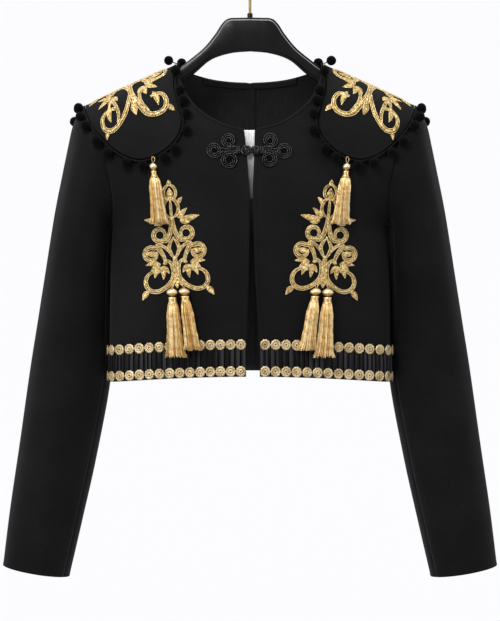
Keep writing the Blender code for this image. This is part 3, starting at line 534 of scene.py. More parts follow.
panels = {}
for side_name, side in SIDES:
    for title, face in (("front", FRONT), ("back", BACK)):
        grid, found, cut = panel(side, face)
        made = cloth_wall(f"cloth_{title}_{side_name}", grid, found, wool, cut=cut, inside=lining)
        panels[title, side_name] = settle(made, "wool_cloth", f"{title}_{side_name}")
print("panels:", {"_".join(key): len(made.data.polygons) for key, made in panels.items()})

# %% [markdown]
# ## Sleeves
# A tailored sleeve has two pieces: a wide upper one and a narrow one under the arm, joined by two
# seams, and it bends a little at the elbow. The rings of the form carry both, from the armhole to the
# cuff. Hanging empty it shows only soft shapes: a little fullness at the sleeve head, a long hollow
# down the front and some slack at the elbow. They are laid out by angle and ring, uneven from side
# to side.

# %% Sleeve form
SLEEVE = table("ring in_x in_z out_x out_z y front back", [(0, 178.8, -346.0, 189.0, -179.7, 0, 53.0, 54.0),
    (1, 179.4, -348.0, 203.0, -186.3, 0, 53.5, 54.5), (2, 179.7, -350.0, 213.5, -192.0, 0, 54.0, 55.0),
    (3, 179.9, -353.0, 223.5, -201.0, 1, 55.0, 55.0), (4, 180.0, -357.0, 230.5, -216.0, 2, 55.0, 54.0),
    (5, 180.1, -363.0, 236.0, -240.0, 3, 54.0, 53.0), (6, 180.3, -372.0, 243.5, -275.0, 5, 53.0, 52.0),
    (7, 180.7, -392.0, 254.5, -328.0, 9, 51.0, 50.0), (8, 181.2, -425.0, 267.5, -405.0, 15, 49.0, 49.0),
    (9, 182.0, -485.0, 278.5, -470.0, 21, 47.0, 47.0), (10, 183.2, -546.0, 288.5, -531.0, 23, 46.0, 46.0),
    (11, 201.0, -645.0, 301.7, -628.0, 16, 43.0, 43.0), (12, 219.0, -727.0, 313.3, -711.0, 9, 40.0, 40.0),
    (13, 235.5, -799.5, 321.8, -784.5, 2, 38.0, 38.0)])
CUFF = 13
SEAM_FRONT, SEAM_BACK = 150.0, 255.0

# Folds of the sleeves, by side: from one angle and ring to another, how wide in degrees and how high.
SLEEVE_FOLDS = {
    -1: [(118, 3.0, 96, 8.2, 15, -1.6), (62, 2.0, 52, 6.5, 13, 1.0), (40, 8.6, 120, 9.6, 20, 1.2),
        (64, 9.6, 140, 10.3, 14, -1.1), (78, 10.4, 100, 12.8, 16, 1.2), (30, 5.0, 24, 12.0, 14, -0.8),
        (300, 3.0, 318, 11.0, 18, 1.4), (250, 8.4, 300, 9.8, 16, -1.2)],
    1: [(116, 2.8, 92, 8.0, 14, -1.5), (58, 2.4, 48, 7.0, 14, 1.1), (52, 9.0, 128, 10.0, 18, 1.2),
        (74, 9.9, 138, 10.9, 13, -1.0), (84, 10.6, 98, 12.9, 15, 1.0), (28, 4.0, 30, 11.6, 15, -0.9),
        (296, 3.2, 312, 10.6, 19, 1.3), (256, 8.8, 306, 10.4, 15, -1.3)]}


def sleeve_places(ring, angle):
    """Points of a sleeve's outer face on the right half, for arrays of ring and angle in degrees."""
    row = {name: read(SLEEVE, name, ring) for name in list(SLEEVE)[1:]}
    cos, sin = np.cos(np.radians(angle)), np.sin(np.radians(angle))
    x = (row["out_x"] + row["in_x"]) / 2 + (row["out_x"] - row["in_x"]) / 2 * cos
    z = (row["out_z"] + row["in_z"]) / 2 + (row["out_z"] - row["in_z"]) / 2 * cos
    y = row["y"] - np.where(sin > 0, row["front"], row["back"]) * sin
    seam_z = ARMHOLE_MIDDLE + ARMHOLE_HALF * cos
    seam_x = (TIP[0] + UNDERARM[0]) / 2 + (TIP[0] - UNDERARM[0]) / 2 * cos
    x = x + (read(ARMHOLE, "x", seam_z) + 2 * GAP - seam_x) * np.clip(1 - ring / 2, 0, 1) ** 2
    return np.stack([x, y, z], -1)


def sleeve_lift(side, ring, angle):
    """How far the folds and the fullness at the head lift a sleeve's cloth."""
    lift = 1.3 * np.exp(-((ring - 1.1) / 0.8) ** 2) * np.clip(np.cos(np.radians(angle)) + 0.3, 0, 1)
    for angle0, ring0, angle1, ring1, wide, high in SLEEVE_FOLDS[side]:
        share = np.clip((ring - ring0) / (ring1 - ring0), -0.3, 1.3)
        off = (angle - angle0 - (angle1 - angle0) * share + 180) % 360 - 180
        lift = lift + fold(share, off, wide, high, 0.3, 0.5)
    return lift


PRESS_REACH = 5.0  # the furthest that a sleeve's cloth is pressed, in mm
PRESS_PASSES = 12  # of smoothing, so that the pressed part has no step at its edge


def pressed_flat(side, grid, found, ring, angle):
    """How far the sleeve's inner face moves out to lie against the side of the body."""
    points, faces = [], []
    for title in ("front", "back"):
        first = len(points)
        mesh = panels[title, "right" if side < 0 else "left"].data
        points += [(v.co.x / MM * side, v.co.y / MM, v.co.z / MM) for v in mesh.vertices]
        faces += [tuple(first + k for k in p.vertices) for p in mesh.polygons]
    body = BVHTree.FromPolygons(points, faces)
    fade = lambda value, low, high: np.clip((value - low) / (high - low), 0, 1)
    weight = fade(ring, 0.9, 2.2) * fade(ring, 10.2, 9.0) * fade(angle, 118, 138) * fade(angle, 216, 196)
    lift, room = np.zeros(ring.shape), np.full(ring.shape, PRESS_REACH)
    for i, j in np.argwhere(weight > 0):
        there = body.ray_cast(Vector(grid[i, j]), Vector(found[i, j]), PRESS_REACH + GAP)[3]
        if there is not None:
            room[i, j] = max(0.0, there - GAP)
            lift[i, j] = weight[i, j] * room[i, j]
    for _ in range(PRESS_PASSES):
        wider = np.pad(lift, 1, mode="edge")
        beside = wider[:-2, 1:-1] + wider[2:, 1:-1] + wider[1:-1, :-2] + wider[1:-1, 2:]
        lift = np.minimum((beside + 2 * lift) / 6, room)
    return lift


# Rings of a sleeve's grid: closer at the head, and closest where the cuff is turned in.
RINGS = np.concatenate([np.linspace(0, 6, 55)[:-1], np.linspace(6, CUFF, 105)[:-3],
    CUFF - np.array([0.075, 0.055, 0.035, 0.015, 0])])
ELBOW = 80  # a ring near the elbow, where outward is easy to tell


def sleeve_piece(side, start, stop, steps):
    """Grid of one sleeve piece between two seam angles, armhole to cuff."""
    ring, angle = np.meshgrid(RINGS, np.linspace(start, stop, steps + 1), indexing="ij")
    grid = sleeve_places(ring, angle)
    middle = (sleeve_places(RINGS, 0 * RINGS) + sleeve_places(RINGS, 0 * RINGS + 180)) / 2
    outward = lambda grid: grid[ELBOW, steps // 2] - middle[ELBOW]
    found = normals(grid, outward(grid))
    around, down = walked(grid, 1), walked(grid, 0)
    to_seam = np.minimum(around, around[:, -1:] - around)
    to_cuff = down[-1:, :] - down
    lift = sleeve_lift(side, ring, angle) * np.clip(down / 6, 0, 1)
    lift = lift - 0.6 * np.exp(-(to_seam / 2.0) ** 2) - 0.5 * np.exp(-(down / 2.0) ** 2)
    lift = lift + 0.3 * np.exp(-((to_cuff - 1.5) / 1.5) ** 2)
    grid = grid + found * lift[..., None]
    grid = grid + found * pressed_flat(side, grid, found, ring, angle)[..., None]
    found, mirror = normals(grid, outward(grid)), (side, 1, 1)
    return grid * mirror, found * mirror, np.stack([side * around, -down], -1)


sleeves = {}
SEAM_HALF = 0.03  # degrees between a piece's edge and its seam
for side_name, side in SIDES:
    for title, start, stop, steps in (("upper", SEAM_BACK + SEAM_HALF - 360, SEAM_FRONT - SEAM_HALF, 78),
            ("under", SEAM_FRONT + SEAM_HALF, SEAM_BACK - SEAM_HALF, 32)):
        grid, found, cut = sleeve_piece(side, start, stop, steps)
        made = cloth_wall(f"cloth_{title}_sleeve_{side_name}", grid, found, wool, cut=cut, inside=lining)
        sleeves[title, side_name] = settle(made, "wool_cloth", f"{title}_sleeve_{side_name}")
print("sleeves:", {"_".join(key): len(made.data.polygons) for key, made in sleeves.items()})

# %% Armhole tapes
# A tape inside each armhole covers the seam between body and sleeve, so no daylight shows through it.
TAPE_DEEP, TAPE_REACH = 1.4, 4.5  # below the cloth, and to each side of the seam, in mm

for side_name, side in SIDES:
    reach, angle = np.meshgrid(np.linspace(-TAPE_REACH, TAPE_REACH, 5), np.linspace(181, 539, 121),
        indexing="ij")
    seam = sleeve_places(0 * angle, angle)
    away = unit(np.stack([0 * angle, seam[..., 1], seam[..., 2] - ARMHOLE_MIDDLE], -1))
    grid, mirror = seam - (CLOTH + TAPE_DEEP) * away, (side, 1, 1)
    grid[..., 0] += reach
    made = cloth_wall(f"cloth_armhole_tape_{side_name}", grid * mirror, away * mirror, lining, low=-0.8)
    panels["tape", side_name] = settle(made, "wool_cloth")
print("armhole tapes:", 2 * TAPE_REACH, "mm wide")

# %% [markdown]
# ## Shoulder pieces
# Each shoulder carries a stiff, rounded piece of the same cloth that lies over the seam like a small
# saddle, longer at the front and back and open at the neck. It is two layers with a stiffener, turned
# and stitched 3.4 mm in, so it keeps its own curve over the sleeve head. Its grid runs along the ridge
# and over it, from the back rim to the front one, with closer rows where the stitched edge is. For
# embroidery the same surface is read in millimetres: so far along the ridge, so far down from it.

# %% Shoulder piece form
FLAP = 2.0  # its wall, two layers with a stiffener between
FLAP_RIDGE = [(95.8, -134.2), (212.7, -187.6)]
FLAP_WIDTH = table("z front back", [(-262, 246, 266), (-245, 248, 271), (-231, 248, 267), (-215, 244, 252),
    (-205, 235, 240), (-196, 224, 228), (-187.6, 212.7, 212.7)])
FLAP_LIFT = 3.0
FLAP_NECK_SIDE = [FLAP_RIDGE[0], (97.5, -152), (97.8, -168), (92.5, -188), (87, -212)]
FLAP_OUTER_SIDE = {FRONT: [FLAP_RIDGE[1], (208, -203), (199.2, -219.2)],
    BACK: [FLAP_RIDGE[1], (220, -199), (221, -214), (211, -231)]}
FLAP_BOTTOM = {FRONT: [FLAP_NECK_SIDE[-1], (89.9, -227.1), (101.2, -243.3), (116, -254), (127, -258.7),
    (140.7, -260.9), (155.6, -256.8), (170.7, -248.4), (184.9, -235.3), FLAP_OUTER_SIDE[FRONT][-1]],
    BACK: [FLAP_NECK_SIDE[-1], (89.9, -228), (101.2, -246), (117, -257), (134, -262), (153, -262),
    (173, -257), (193, -247), FLAP_OUTER_SIDE[BACK][-1]]}
FLAP_HEART = np.array((150.0, 0.0, -230.0))  # a point inside the shoulder
FLAP_EDGE = 3.4  # from its rim to its line of stitching

# Slow waves of the stiffened cloth: along the ridge and down from it as shares, width and height.
FLAP_WAVES = [(0.30, 0.62, 0.16, 0.8), (0.72, 0.55, 0.14, -0.7), (0.45, -0.60, 0.18, 0.9),
    (0.80, -0.50, 0.15, -0.6)]


def flap_y(x, z, face):
    """A shoulder piece's outer face, as Y over the front view."""
    (x0, z0), (x1, z1) = FLAP_RIDGE
    ridge = x0 + (z - z0) * (x1 - x0) / (z1 - z0)
    column = "front" if face == FRONT else "back"
    half = np.where(z > z1, ridge, np.maximum(read(FLAP_WIDTH, column, z), half_width(z, face) + 4))
    across = np.clip(x / half, 0, 1)
    return face * (depth(z, face) + FLAP_LIFT) * (1 - across ** ROUND) ** (1 / ROUND)


def flap_places(side, u, v):
    """Points of a shoulder piece's outer face: u along the ridge, v from -1 at the back rim to 1."""
    u, v = np.broadcast_arrays(np.asarray(u, float), np.asarray(v, float))
    out = np.zeros(u.shape + (3,))
    corner = [np.array(c) for c in FLAP_RIDGE]
    for face in (FRONT, BACK):
        here = (v >= 0) == (face == FRONT)
        a, b = u[here], np.abs(v[here]) ** 1.5
        neck, outer = path(FLAP_NECK_SIDE, b), path(FLAP_OUTER_SIDE[face], b)
        bottom = path(FLAP_BOTTOM[face], a)
        low_neck, low_outer = np.array(FLAP_BOTTOM[face][0]), np.array(FLAP_BOTTOM[face][-1])
        a, b = a[:, None], b[:, None]
        ridge = corner[0] * (1 - a) + corner[1] * a
        flat = (ridge * (1 - b) + bottom * b + neck * (1 - a) + outer * a
            - (1 - a) * ((1 - b) * corner[0] + b * low_neck) - a * ((1 - b) * corner[1] + b * low_outer))
        out[here] = np.stack([side * flat[:, 0], flap_y(flat[:, 0], flat[:, 1], face), flat[:, 1]], -1)
    return out


def flap_grid(side, u, v, edge=0.0):
    """Grid of a shoulder piece with its waves and stitched edge, and its normals."""
    v, u = np.meshgrid(v, u, indexing="ij")
    grid = flap_places(side, u, v)
    middle = grid.shape[0] // 2, grid.shape[1] // 2
    outward = grid[middle] - FLAP_HEART * (side, 1, 1)
    found = normals(grid, outward)
    lift = sum(high * np.exp(-((u - at_u) ** 2 + (v - at_v) ** 2) / wide ** 2)
        for at_u, at_v, wide, high in FLAP_WAVES)
    if edge:
        along, over = walked(grid, 1), walked(grid, 0)
        inside = np.minimum(np.minimum(along, along[:, -1:] - along), np.minimum(over, over[-1:] - over))
        lift = lift + edge * turned_edge(inside * TURNED / FLAP_EDGE, 1.0)
    grid = grid + found * lift[..., None]
    return grid, normals(grid, outward)


class Flap:
    """One shoulder piece read in mm: r along the ridge from the neck, q down from it, front above 0."""
    columns, rows = 64, 132

    def __init__(self, side):
        self.grid, self.found = flap_grid(side, np.linspace(0, 1, self.columns + 1),
            np.linspace(-1, 1, self.rows + 1))
        down = walked(self.grid, 0)
        self.down = down - down[self.rows // 2]
        self.length = np.linalg.norm(np.subtract(*FLAP_RIDGE))

    def place(self, r, q, lift=0.0):
        """Points and normals at r and q, lifted off the cloth."""
        r, q = np.broadcast_arrays(np.asarray(r, float), np.asarray(q, float))
        column = np.clip(r.ravel() / self.length, 0, 1) * self.columns
        low = np.clip(column.astype(int), 0, self.columns - 1)
        share = (column - low)[:, None]
        both = np.concatenate([self.grid, self.found], -1)
        read_at = lambda c: np.array([[np.interp(one_q, self.down[:, k], both[:, k, n]) for n in range(6)]
            for one_q, k in zip(q.ravel(), c)])
        found = read_at(low) * (1 - share) + read_at(low + 1) * share
        normal = unit(found[:, 3:])
        points = found[:, :3] + normal * np.broadcast_to(lift, r.shape).reshape(-1, 1)
        return points.reshape(*r.shape, 3), normal.reshape(*r.shape, 3)


EDGE_SHARES = np.array([0, 0.4, 1.0, 1.8, 2.6, 3.1, 3.4, 3.7, 4.3, 5.4])
flaps = {}
for side_name, side in SIDES:
    flaps[side] = Flap(side)
    u = np.concatenate([EDGE_SHARES / 116, np.linspace(0.06, 0.94, 48), 1 - EDGE_SHARES[::-1] / 116])
    v = np.concatenate([EDGE_SHARES / 150, np.linspace(0.05, 0.95, 90), 1 - EDGE_SHARES[::-1] / 150]) * 2 - 1
    grid, found = flap_grid(side, u, v, edge=0.5)
    made = cloth_wall(f"cloth_shoulder_piece_{side_name}", grid, found, wool, low=-FLAP)
    panels["shoulder", side_name] = settle(made, "wool_cloth", f"epaulette_{side_name}")
print("shoulder pieces:", round(flaps[1].length, 1), "mm along the ridge")

# %% [markdown]
# ## Cords and their node tree
# Braid, frog cords, tassel strands, loops and the hook's wire all follow a path, so one node tree
# makes them: it turns a line into a curve, spaces its points evenly, twists it along its length and
# sweeps a small star round it. A star with shallow points is a cord of that many plies; one with none
# is plain wire. The length walked is kept as an attribute for the thread pattern. The tree ends in
# Realize Instances and Set Material, and each piece is then kept as plain mesh.

# %% Cord tree
def group_input(tree, name, kind, value=None):
    socket = tree.interface.new_socket(name=name, in_out="INPUT", socket_type=kind)
    if value is not None:
        socket.default_value = value
    return socket


def new_tree(name):
    """Geometry tree with one geometry input and output, and its two end nodes."""
    tree = bpy.data.node_groups.new(name, "GeometryNodeTree")
    group_input(tree, "Geometry", "NodeSocketGeometry")
    tree.interface.new_socket(name="Geometry", in_out="OUTPUT", socket_type="NodeSocketGeometry")
    return tree, tree.nodes.new("NodeGroupInput"), tree.nodes.new("NodeGroupOutput")


def end_tree(tree, geometry, given, result):
    """Close a tree with Realize Instances and Set Material."""
    real = add(tree, "GeometryNodeRealizeInstances", {"Geometry": geometry})
    finished = add(tree, "GeometryNodeSetMaterial", {"Geometry": real, "Material": given.outputs["Finish"]})
    tree.links.new(finished.outputs["Geometry"], result.inputs["Geometry"])


cord_tree, given, result = new_tree("twisted_cord")
for title, kind, value in (("Radius", "NodeSocketFloat", 0.001), ("Plies", "NodeSocketInt", 3),
        ("Groove", "NodeSocketFloat", 0.75), ("Pitch", "NodeSocketFloat", 0.006),
        ("Step", "NodeSocketFloat", 0.001), ("Finish", "NodeSocketMaterial", None)):
    group_input(cord_tree, title, kind, value)
lines = add(cord_tree, "GeometryNodeMeshToCurve", {"Mesh": given})
spaced = add(cord_tree, "GeometryNodeResampleCurve", {"Curve": lines, "Length": given.outputs["Step"]},
    mode="LENGTH")
walked_by = add(cord_tree, "GeometryNodeSplineParameter").outputs["Length"]
turns = add(cord_tree, "ShaderNodeMath", {0: walked_by, 1: given.outputs["Pitch"]}, operation="DIVIDE")
turned = add(cord_tree, "ShaderNodeMath", {0: turns, 1: 2 * math.pi}, operation="MULTIPLY")
twisted = add(cord_tree, "GeometryNodeSetCurveTilt", {"Curve": spaced, "Tilt": turned})
thick = add(cord_tree, "GeometryNodeInputNamedAttribute", {"Name": "thick"}, data_type="FLOAT")
kept = add(cord_tree, "GeometryNodeStoreNamedAttribute",
    {"Geometry": twisted, "Name": "along", "Value": walked_by}, data_type="FLOAT", domain="POINT")
inner = add(cord_tree, "ShaderNodeMath", {0: given.outputs["Radius"], 1: given.outputs["Groove"]},
    operation="MULTIPLY")
star = add(cord_tree, "GeometryNodeCurveStar", {"Points": given.outputs["Plies"], "Inner Radius": inner,
    "Outer Radius": given.outputs["Radius"]})
swept = add(cord_tree, "GeometryNodeCurveToMesh", {"Curve": kept, "Profile Curve": star, "Scale": thick,
    "Fill Caps": True})
end_tree(cord_tree, add(cord_tree, "GeometryNodeSetShadeSmooth", {"Geometry": swept}), given, result)


def keep(mesh, name, values, kind="FLOAT"):
    """Keep a value, or a vector, at each point of a mesh as an attribute."""
    field = "vector" if kind == "FLOAT_VECTOR" else "value"
    mesh.attributes.new(name, kind, "POINT").data.foreach_set(field, np.array(values, np.float32).ravel())


def line_mesh(name, lines, thick=None, closed=False, tint=None):
    """Mesh of loose lines in mm; thick scales each point's radius, tint is one value for each line."""
    points = np.concatenate([np.asarray(line, float).reshape(-1, 3) for line in lines])
    edges, start = [], 0
    for line in lines:
        count = len(line)
        edges += [(start + k, start + k + 1) for k in range(count - 1)]
        if closed:
            edges.append((start + count - 1, start))
        start += count
    mesh = bpy.data.meshes.new(name)
    mesh.from_pydata((points * MM).tolist(), edges, [])
    keep(mesh, "thick", np.ones(len(points)) if thick is None else np.concatenate(thick))
    if tint is not None:
        keep(mesh, "tint", np.repeat(tint, [len(line) for line in lines]))
    return new_object(name, mesh)


def grown(source, tree, **inputs):
    """Run a node tree on an object and keep the result as a plain mesh object in its place."""
    modifier = source.modifiers.new("grow", "NODES")
    modifier.node_group = tree
    sockets = {item.name: item.identifier for item in tree.interface.items_tree if item.in_out == "INPUT"}
    for name, value in inputs.items():
        modifier[sockets[name.replace("_", " ")]] = value
    bpy.context.view_layer.update()
    mesh = bpy.data.meshes.new_from_object(source.evaluated_get(bpy.context.evaluated_depsgraph_get()))
    source.modifiers.remove(modifier)
    made, name = new_object(source.name + "_grown", mesh), source.name
    bpy.data.objects.remove(source)
    made.name = name
    return made


def cords(name, lines, radius, finish, plies=3, groove=0.75, pitch=6.0, step=1.0, thick=None, closed=False,
        tint=None):
    """Cords along lines in mm, as one plain mesh object."""
    return grown(line_mesh(name, lines, thick, closed, tint), cord_tree, Radius=radius * MM, Plies=plies,
        Groove=groove, Pitch=pitch * MM, Step=step * MM, Finish=finish)


def together(name, objects):
    """Join mesh objects into the first, and keep the materials of all."""
    first = objects[0]
    with bpy.context.temp_override(active_object=first, object=first, selected_objects=objects,
            selected_editable_objects=objects):
        bpy.ops.object.join()
    first.name = name
    return first


def closed_rounds(name, rings, finish, tint):
    """Closed mesh through rings, with a tint for each point."""
    made = mesh_object(name, rings.reshape(-1, 3), round_faces(*rings.shape[:2]), finish)
    keep(made.data, "tint", np.broadcast_to(tint, rings.shape[:2]))
    return face_out(made)


def modelled(name, shape, finish, smooth=True):
    """New object from a bmesh, which is used up."""
    mesh = bpy.data.meshes.new(name)
    shape.to_mesh(mesh)
    shape.free()
    if smooth:
        mesh.shade_smooth()
    mesh.materials.append(finish)
    return new_object(name, mesh)


print("cord tree:", len(cord_tree.nodes), "nodes")

# %% [markdown]
# ## Black cord and wool felt
# The braid round each shoulder piece is twisted black rayon with a soft sheen. The pom-poms on it are
# clipped wool: matt, slightly bumpy balls with a halo of short fibres.

# %% Cord and pom-pom materials
STRAND_PITCH = 1.2  # between the strands of black cord, in mm


def twisted_finish(name, dark, light, **shader):
    """Material of a twisted cord: its strands show along the length walked."""
    made, tree, principled = material(name, **shader)
    along = add(tree, "ShaderNodeAttribute", attribute_name="along")
    turns = add(tree, "ShaderNodeMath", {0: along.outputs["Fac"], 1: 2 * math.pi / (STRAND_PITCH * MM)},
        operation="MULTIPLY")
    strand = add(tree, "ShaderNodeMath", {0: turns}, operation="SINE")
    strand = add(tree, "ShaderNodeMath", {0: strand, 1: 0.5, 2: 0.5}, operation="MULTIPLY_ADD")
    surface(tree, principled, strand, [(0, dark), (1, light)], strand, 0.4, 0.0002)
    return made


# The braid is matt, so it stays dark between the balls; the frog's cord shines along each turn.
black_cord = twisted_finish("black_rayon_cord_twisted", "#040405", "#101011", Roughness=0.6,
    Specular_IOR_Level=0.12, Sheen_Weight=0.02, Sheen_Roughness=0.4)
shiny_cord = twisted_finish("black_rayon_cord_braided_glossy", "#020203", "#0c0c0d", Roughness=0.2,
    Specular_IOR_Level=0.5)

felt, tree, shader = material("black_wool_pompom_clipped", Roughness=0.95, Specular_IOR_Level=0.03,
    Sheen_Weight=0.02, Sheen_Roughness=0.6)
place = add(tree, "ShaderNodeTexCoord").outputs["Object"]
nap = add(tree, "ShaderNodeTexNoise", {"Vector": place, "Scale": 900.0, "Detail": 3.0})
surface(tree, shader, nap, [(0.35, "#020203"), (0.7, "#0a0a0b")], nap, 0.8, 0.0006)
print("materials:", black_cord.name, felt.name)

# %% [markdown]
# ## Braid and pom-poms
# The trim is one bought piece: a twisted braid that carries a pom-pom every so often, sewn along the
# rim with the balls hanging free. One ball is made, with its clipped bumps and fibres, and a node tree
# places it at every seat, each turned and sized a little differently.

# %% Scatter tree
scatter_tree, given, result = new_tree("scatter_pieces")
for title, kind in (("Piece", "NodeSocketObject"), ("Finish", "NodeSocketMaterial")):
    group_input(scatter_tree, title, kind)
piece = add(scatter_tree, "GeometryNodeObjectInfo", {"Object": given.outputs["Piece"]},
    transform_space="ORIGINAL")
turn = add(scatter_tree, "GeometryNodeInputNamedAttribute", {"Name": "turn"}, data_type="FLOAT_VECTOR")
size = add(scatter_tree, "GeometryNodeInputNamedAttribute", {"Name": "size"}, data_type="FLOAT_VECTOR")
turned = add(scatter_tree, "FunctionNodeEulerToRotation", {"Euler": turn})
seated = add(scatter_tree, "GeometryNodeInstanceOnPoints",
    {"Points": given, "Rotation": turned, "Scale": size, "Instance": piece.outputs["Geometry"]})
end_tree(scatter_tree, seated, given, result)


def scattered(name, piece, points, axes, sizes, finish):
    """One piece at each point in mm, turned to its axes (columns x, y, z of each), as a plain mesh."""
    mesh = bpy.data.meshes.new(name)
    mesh.from_pydata((np.asarray(points) * MM).tolist(), [], [])
    keep(mesh, "turn", [tuple(Matrix(a.tolist()).to_euler()) for a in axes], "FLOAT_VECTOR")
    sizes = np.asarray(sizes, float).reshape(len(points), -1)
    keep(mesh, "size", np.broadcast_to(sizes, (len(points), 3)), "FLOAT_VECTOR")
    made = grown(new_object(name, mesh), scatter_tree, Piece=piece, Finish=finish)
    bpy.data.objects.remove(piece)
    return made


def frame_of(normal, along):
    """Axes with z along the normal and x near the given direction."""
    z = unit(normal)
    x = unit(along - z * (z @ along))
    return np.stack([x, np.cross(z, x), z], 1)

# %% Pom-poms
BRAID_RADIUS = 1.7
POM_RADIUS = 6.5
POM_FIBRES = 110
POM_HANGS = (6.2, 3.2)  # how far a ball's centre hangs out from the braid, and up off the cloth
POMS_FRONT = [(2, -9.0, 9.5), (34, 1.0, 6.5)] + [(arc, *POM_HANGS) for arc in (
    66, 82, 100, 122, 146, 162, 189, 207, 233, 254, 279, 296, 320)]  # how far along, out and up
POM_PITCH = 22.5  # behind, where the trim is even
RIM_POINTS = 48


def pom_ball(seed):
    """One clipped wool ball, its surface bumpy and with short fibres, centred on the origin."""
    shape = bmesh.new()
    bmesh.ops.create_icosphere(shape, subdivisions=3, radius=1)
    for vertex in shape.verts:
        away = vertex.co.normalized()
        rough = noise.noise(away * 2.2 + Vector((seed, 0, 0))) * 0.035
        rough += noise.noise(away * 8.0 + Vector((0, seed, 0))) * 0.03
        vertex.co = away * (POM_RADIUS * (0.985 + rough)) * MM
    draw = np.random.default_rng(40 + seed)
    for away in draw.normal(size=(POM_FIBRES, 3)):
        away = Vector(away).normalized()
        aside = away.orthogonal().normalized() * 0.07 * MM
        root = away * POM_RADIUS * 0.95 * MM
        tip = root + (away + Vector(draw.normal(size=3)) * 0.5) * draw.uniform(0.4, 0.9) * MM
        corners = [shape.verts.new(root + Matrix.Rotation(turn, 3, away) @ aside)
            for turn in (0, 2.1, 4.2)] + [shape.verts.new(tip)]
        for a, b, c in ((0, 1, 3), (1, 2, 3), (2, 0, 3), (2, 1, 0)):
            shape.faces.new((corners[a], corners[b], corners[c]))
    return modelled("pom_ball", shape, felt)


def rim_line(side):
    """Points round a shoulder piece's rim, with the directions out of it and off the cloth."""
    share = 4 * np.arange(RIM_POINTS) / RIM_POINTS
    quarter, t = share.astype(int), share % 1
    u = np.choose(quarter, [t, 1 + 0 * t, 1 - t, 0 * t])
    v = np.choose(quarter, [1 + 0 * t, 1 - 2 * t, -1 + 0 * t, 2 * t - 1])
    inner_u = u + 0.04 * np.choose(quarter, [0, -1, 0, 1])
    inner_v = v + 0.04 * np.choose(quarter, [-1, 0, 1, 0])
    at = flap_places(side, u, v)
    away = at - flap_places(side, inner_u, inner_v)
    along = unit(np.roll(at, -1, axis=0) - np.roll(at, 1, axis=0))
    away = unit(away - along * (away * along).sum(1, keepdims=True))
    off = np.cross(along, away)
    turned = np.sign((off * (at - FLAP_HEART * (side, 1, 1))).sum(1, keepdims=True))
    return at, away, off * turned


def cloth_tree(side_name):
    """Nearest-point tree of one side's body and sleeve cloth, in mm."""
    points, faces = [], []
    for piece in ([panels["front", side_name], panels["back", side_name]]
            + [made for key, made in sleeves.items() if key[1] == side_name]):
        start = len(points)
        points += [v.co / MM for v in piece.data.vertices]
        faces += [tuple(start + k for k in p.vertices) for p in piece.data.polygons]
    return BVHTree.FromPolygons(points, faces)


def clear_of(tree, point, distance):
    """Move a point away from the nearest cloth until it is a distance clear of it."""
    point = Vector(point)
    for _ in range(6):
        nearest, _, _, gap = tree.find_nearest(point)
        if gap < distance:
            point = point + (point - nearest).normalized() * (distance - gap)
    return point


poms_made = 0
for index, (side_name, side) in enumerate(SIDES):
    tree = cloth_tree(side_name)
    at, away, off = rim_line(side)
    line = [clear_of(tree, p, BRAID_RADIUS + GAP) for p in at + away * (BRAID_RADIUS + 3 * GAP) - off * 0.5]
    lengths = np.array([(line[(k + 1) % len(line)] - line[k]).length for k in range(len(line))])
    walk = np.concatenate([[0], np.cumsum(lengths)])
    neck_end, outer_end = walk[7 * RIM_POINTS // 8], walk[3 * RIM_POINTS // 8]
    spots = [((neck_end + arc) % walk[-1], out, up) for arc, out, up in POMS_FRONT]
    behind = neck_end - outer_end
    count = int(behind / POM_PITCH)
    spots += [(outer_end + 14 + (behind - 24) * n / (count - 1), *POM_HANGS) for n in range(count)]
    loop = np.array([tuple(p) for p in line])
    dense = path(np.vstack([loop[-2:], loop, loop[:3]]), np.linspace(0, 1, 400))
    start = np.linalg.norm(dense - loop[0], axis=1).argmin()
    stop = 200 + np.linalg.norm(dense[200:] - loop[0], axis=1).argmin()
    braid = cords(f"pom_braid_{side_name}", [dense[start:stop]], BRAID_RADIUS, black_cord, plies=3,
        groove=0.6, pitch=7.5, step=0.9, closed=True)
    draw = np.random.default_rng(7 + index)
    centres, stems, axes, sizes = [], [], [], []
    for target, out, up in spots:
        k = int(np.searchsorted(walk, target, side="right")) - 1
        seat = line[k].lerp(line[(k + 1) % len(line)], (target - walk[k]) / lengths[k])
        centre = clear_of(tree, seat + Vector(away[k]) * out + Vector(off[k]) * up, POM_RADIUS * 1.05 + GAP)
        centres.append(tuple(centre))
        stems.append(np.linspace(tuple(seat), tuple(centre), 6))
        axes.append(frame_of(draw.normal(size=3), draw.normal(size=3)))
        sizes.append(draw.uniform(0.95, 1.04))
    balls = scattered(f"pom_balls_{side_name}", pom_ball(index + 1), centres, axes, sizes, felt)
    stalks = cords(f"pom_stalks_{side_name}", stems, 0.8, black_cord, plies=2, groove=0.7, pitch=4, step=1.0)
    settle(together(f"pom_trim_{side_name}_sewn", [braid, balls, stalks]), "black_cord",
        f"pom_trim_{side_name}")
    poms_made += len(centres)
print("pom-poms:", poms_made)
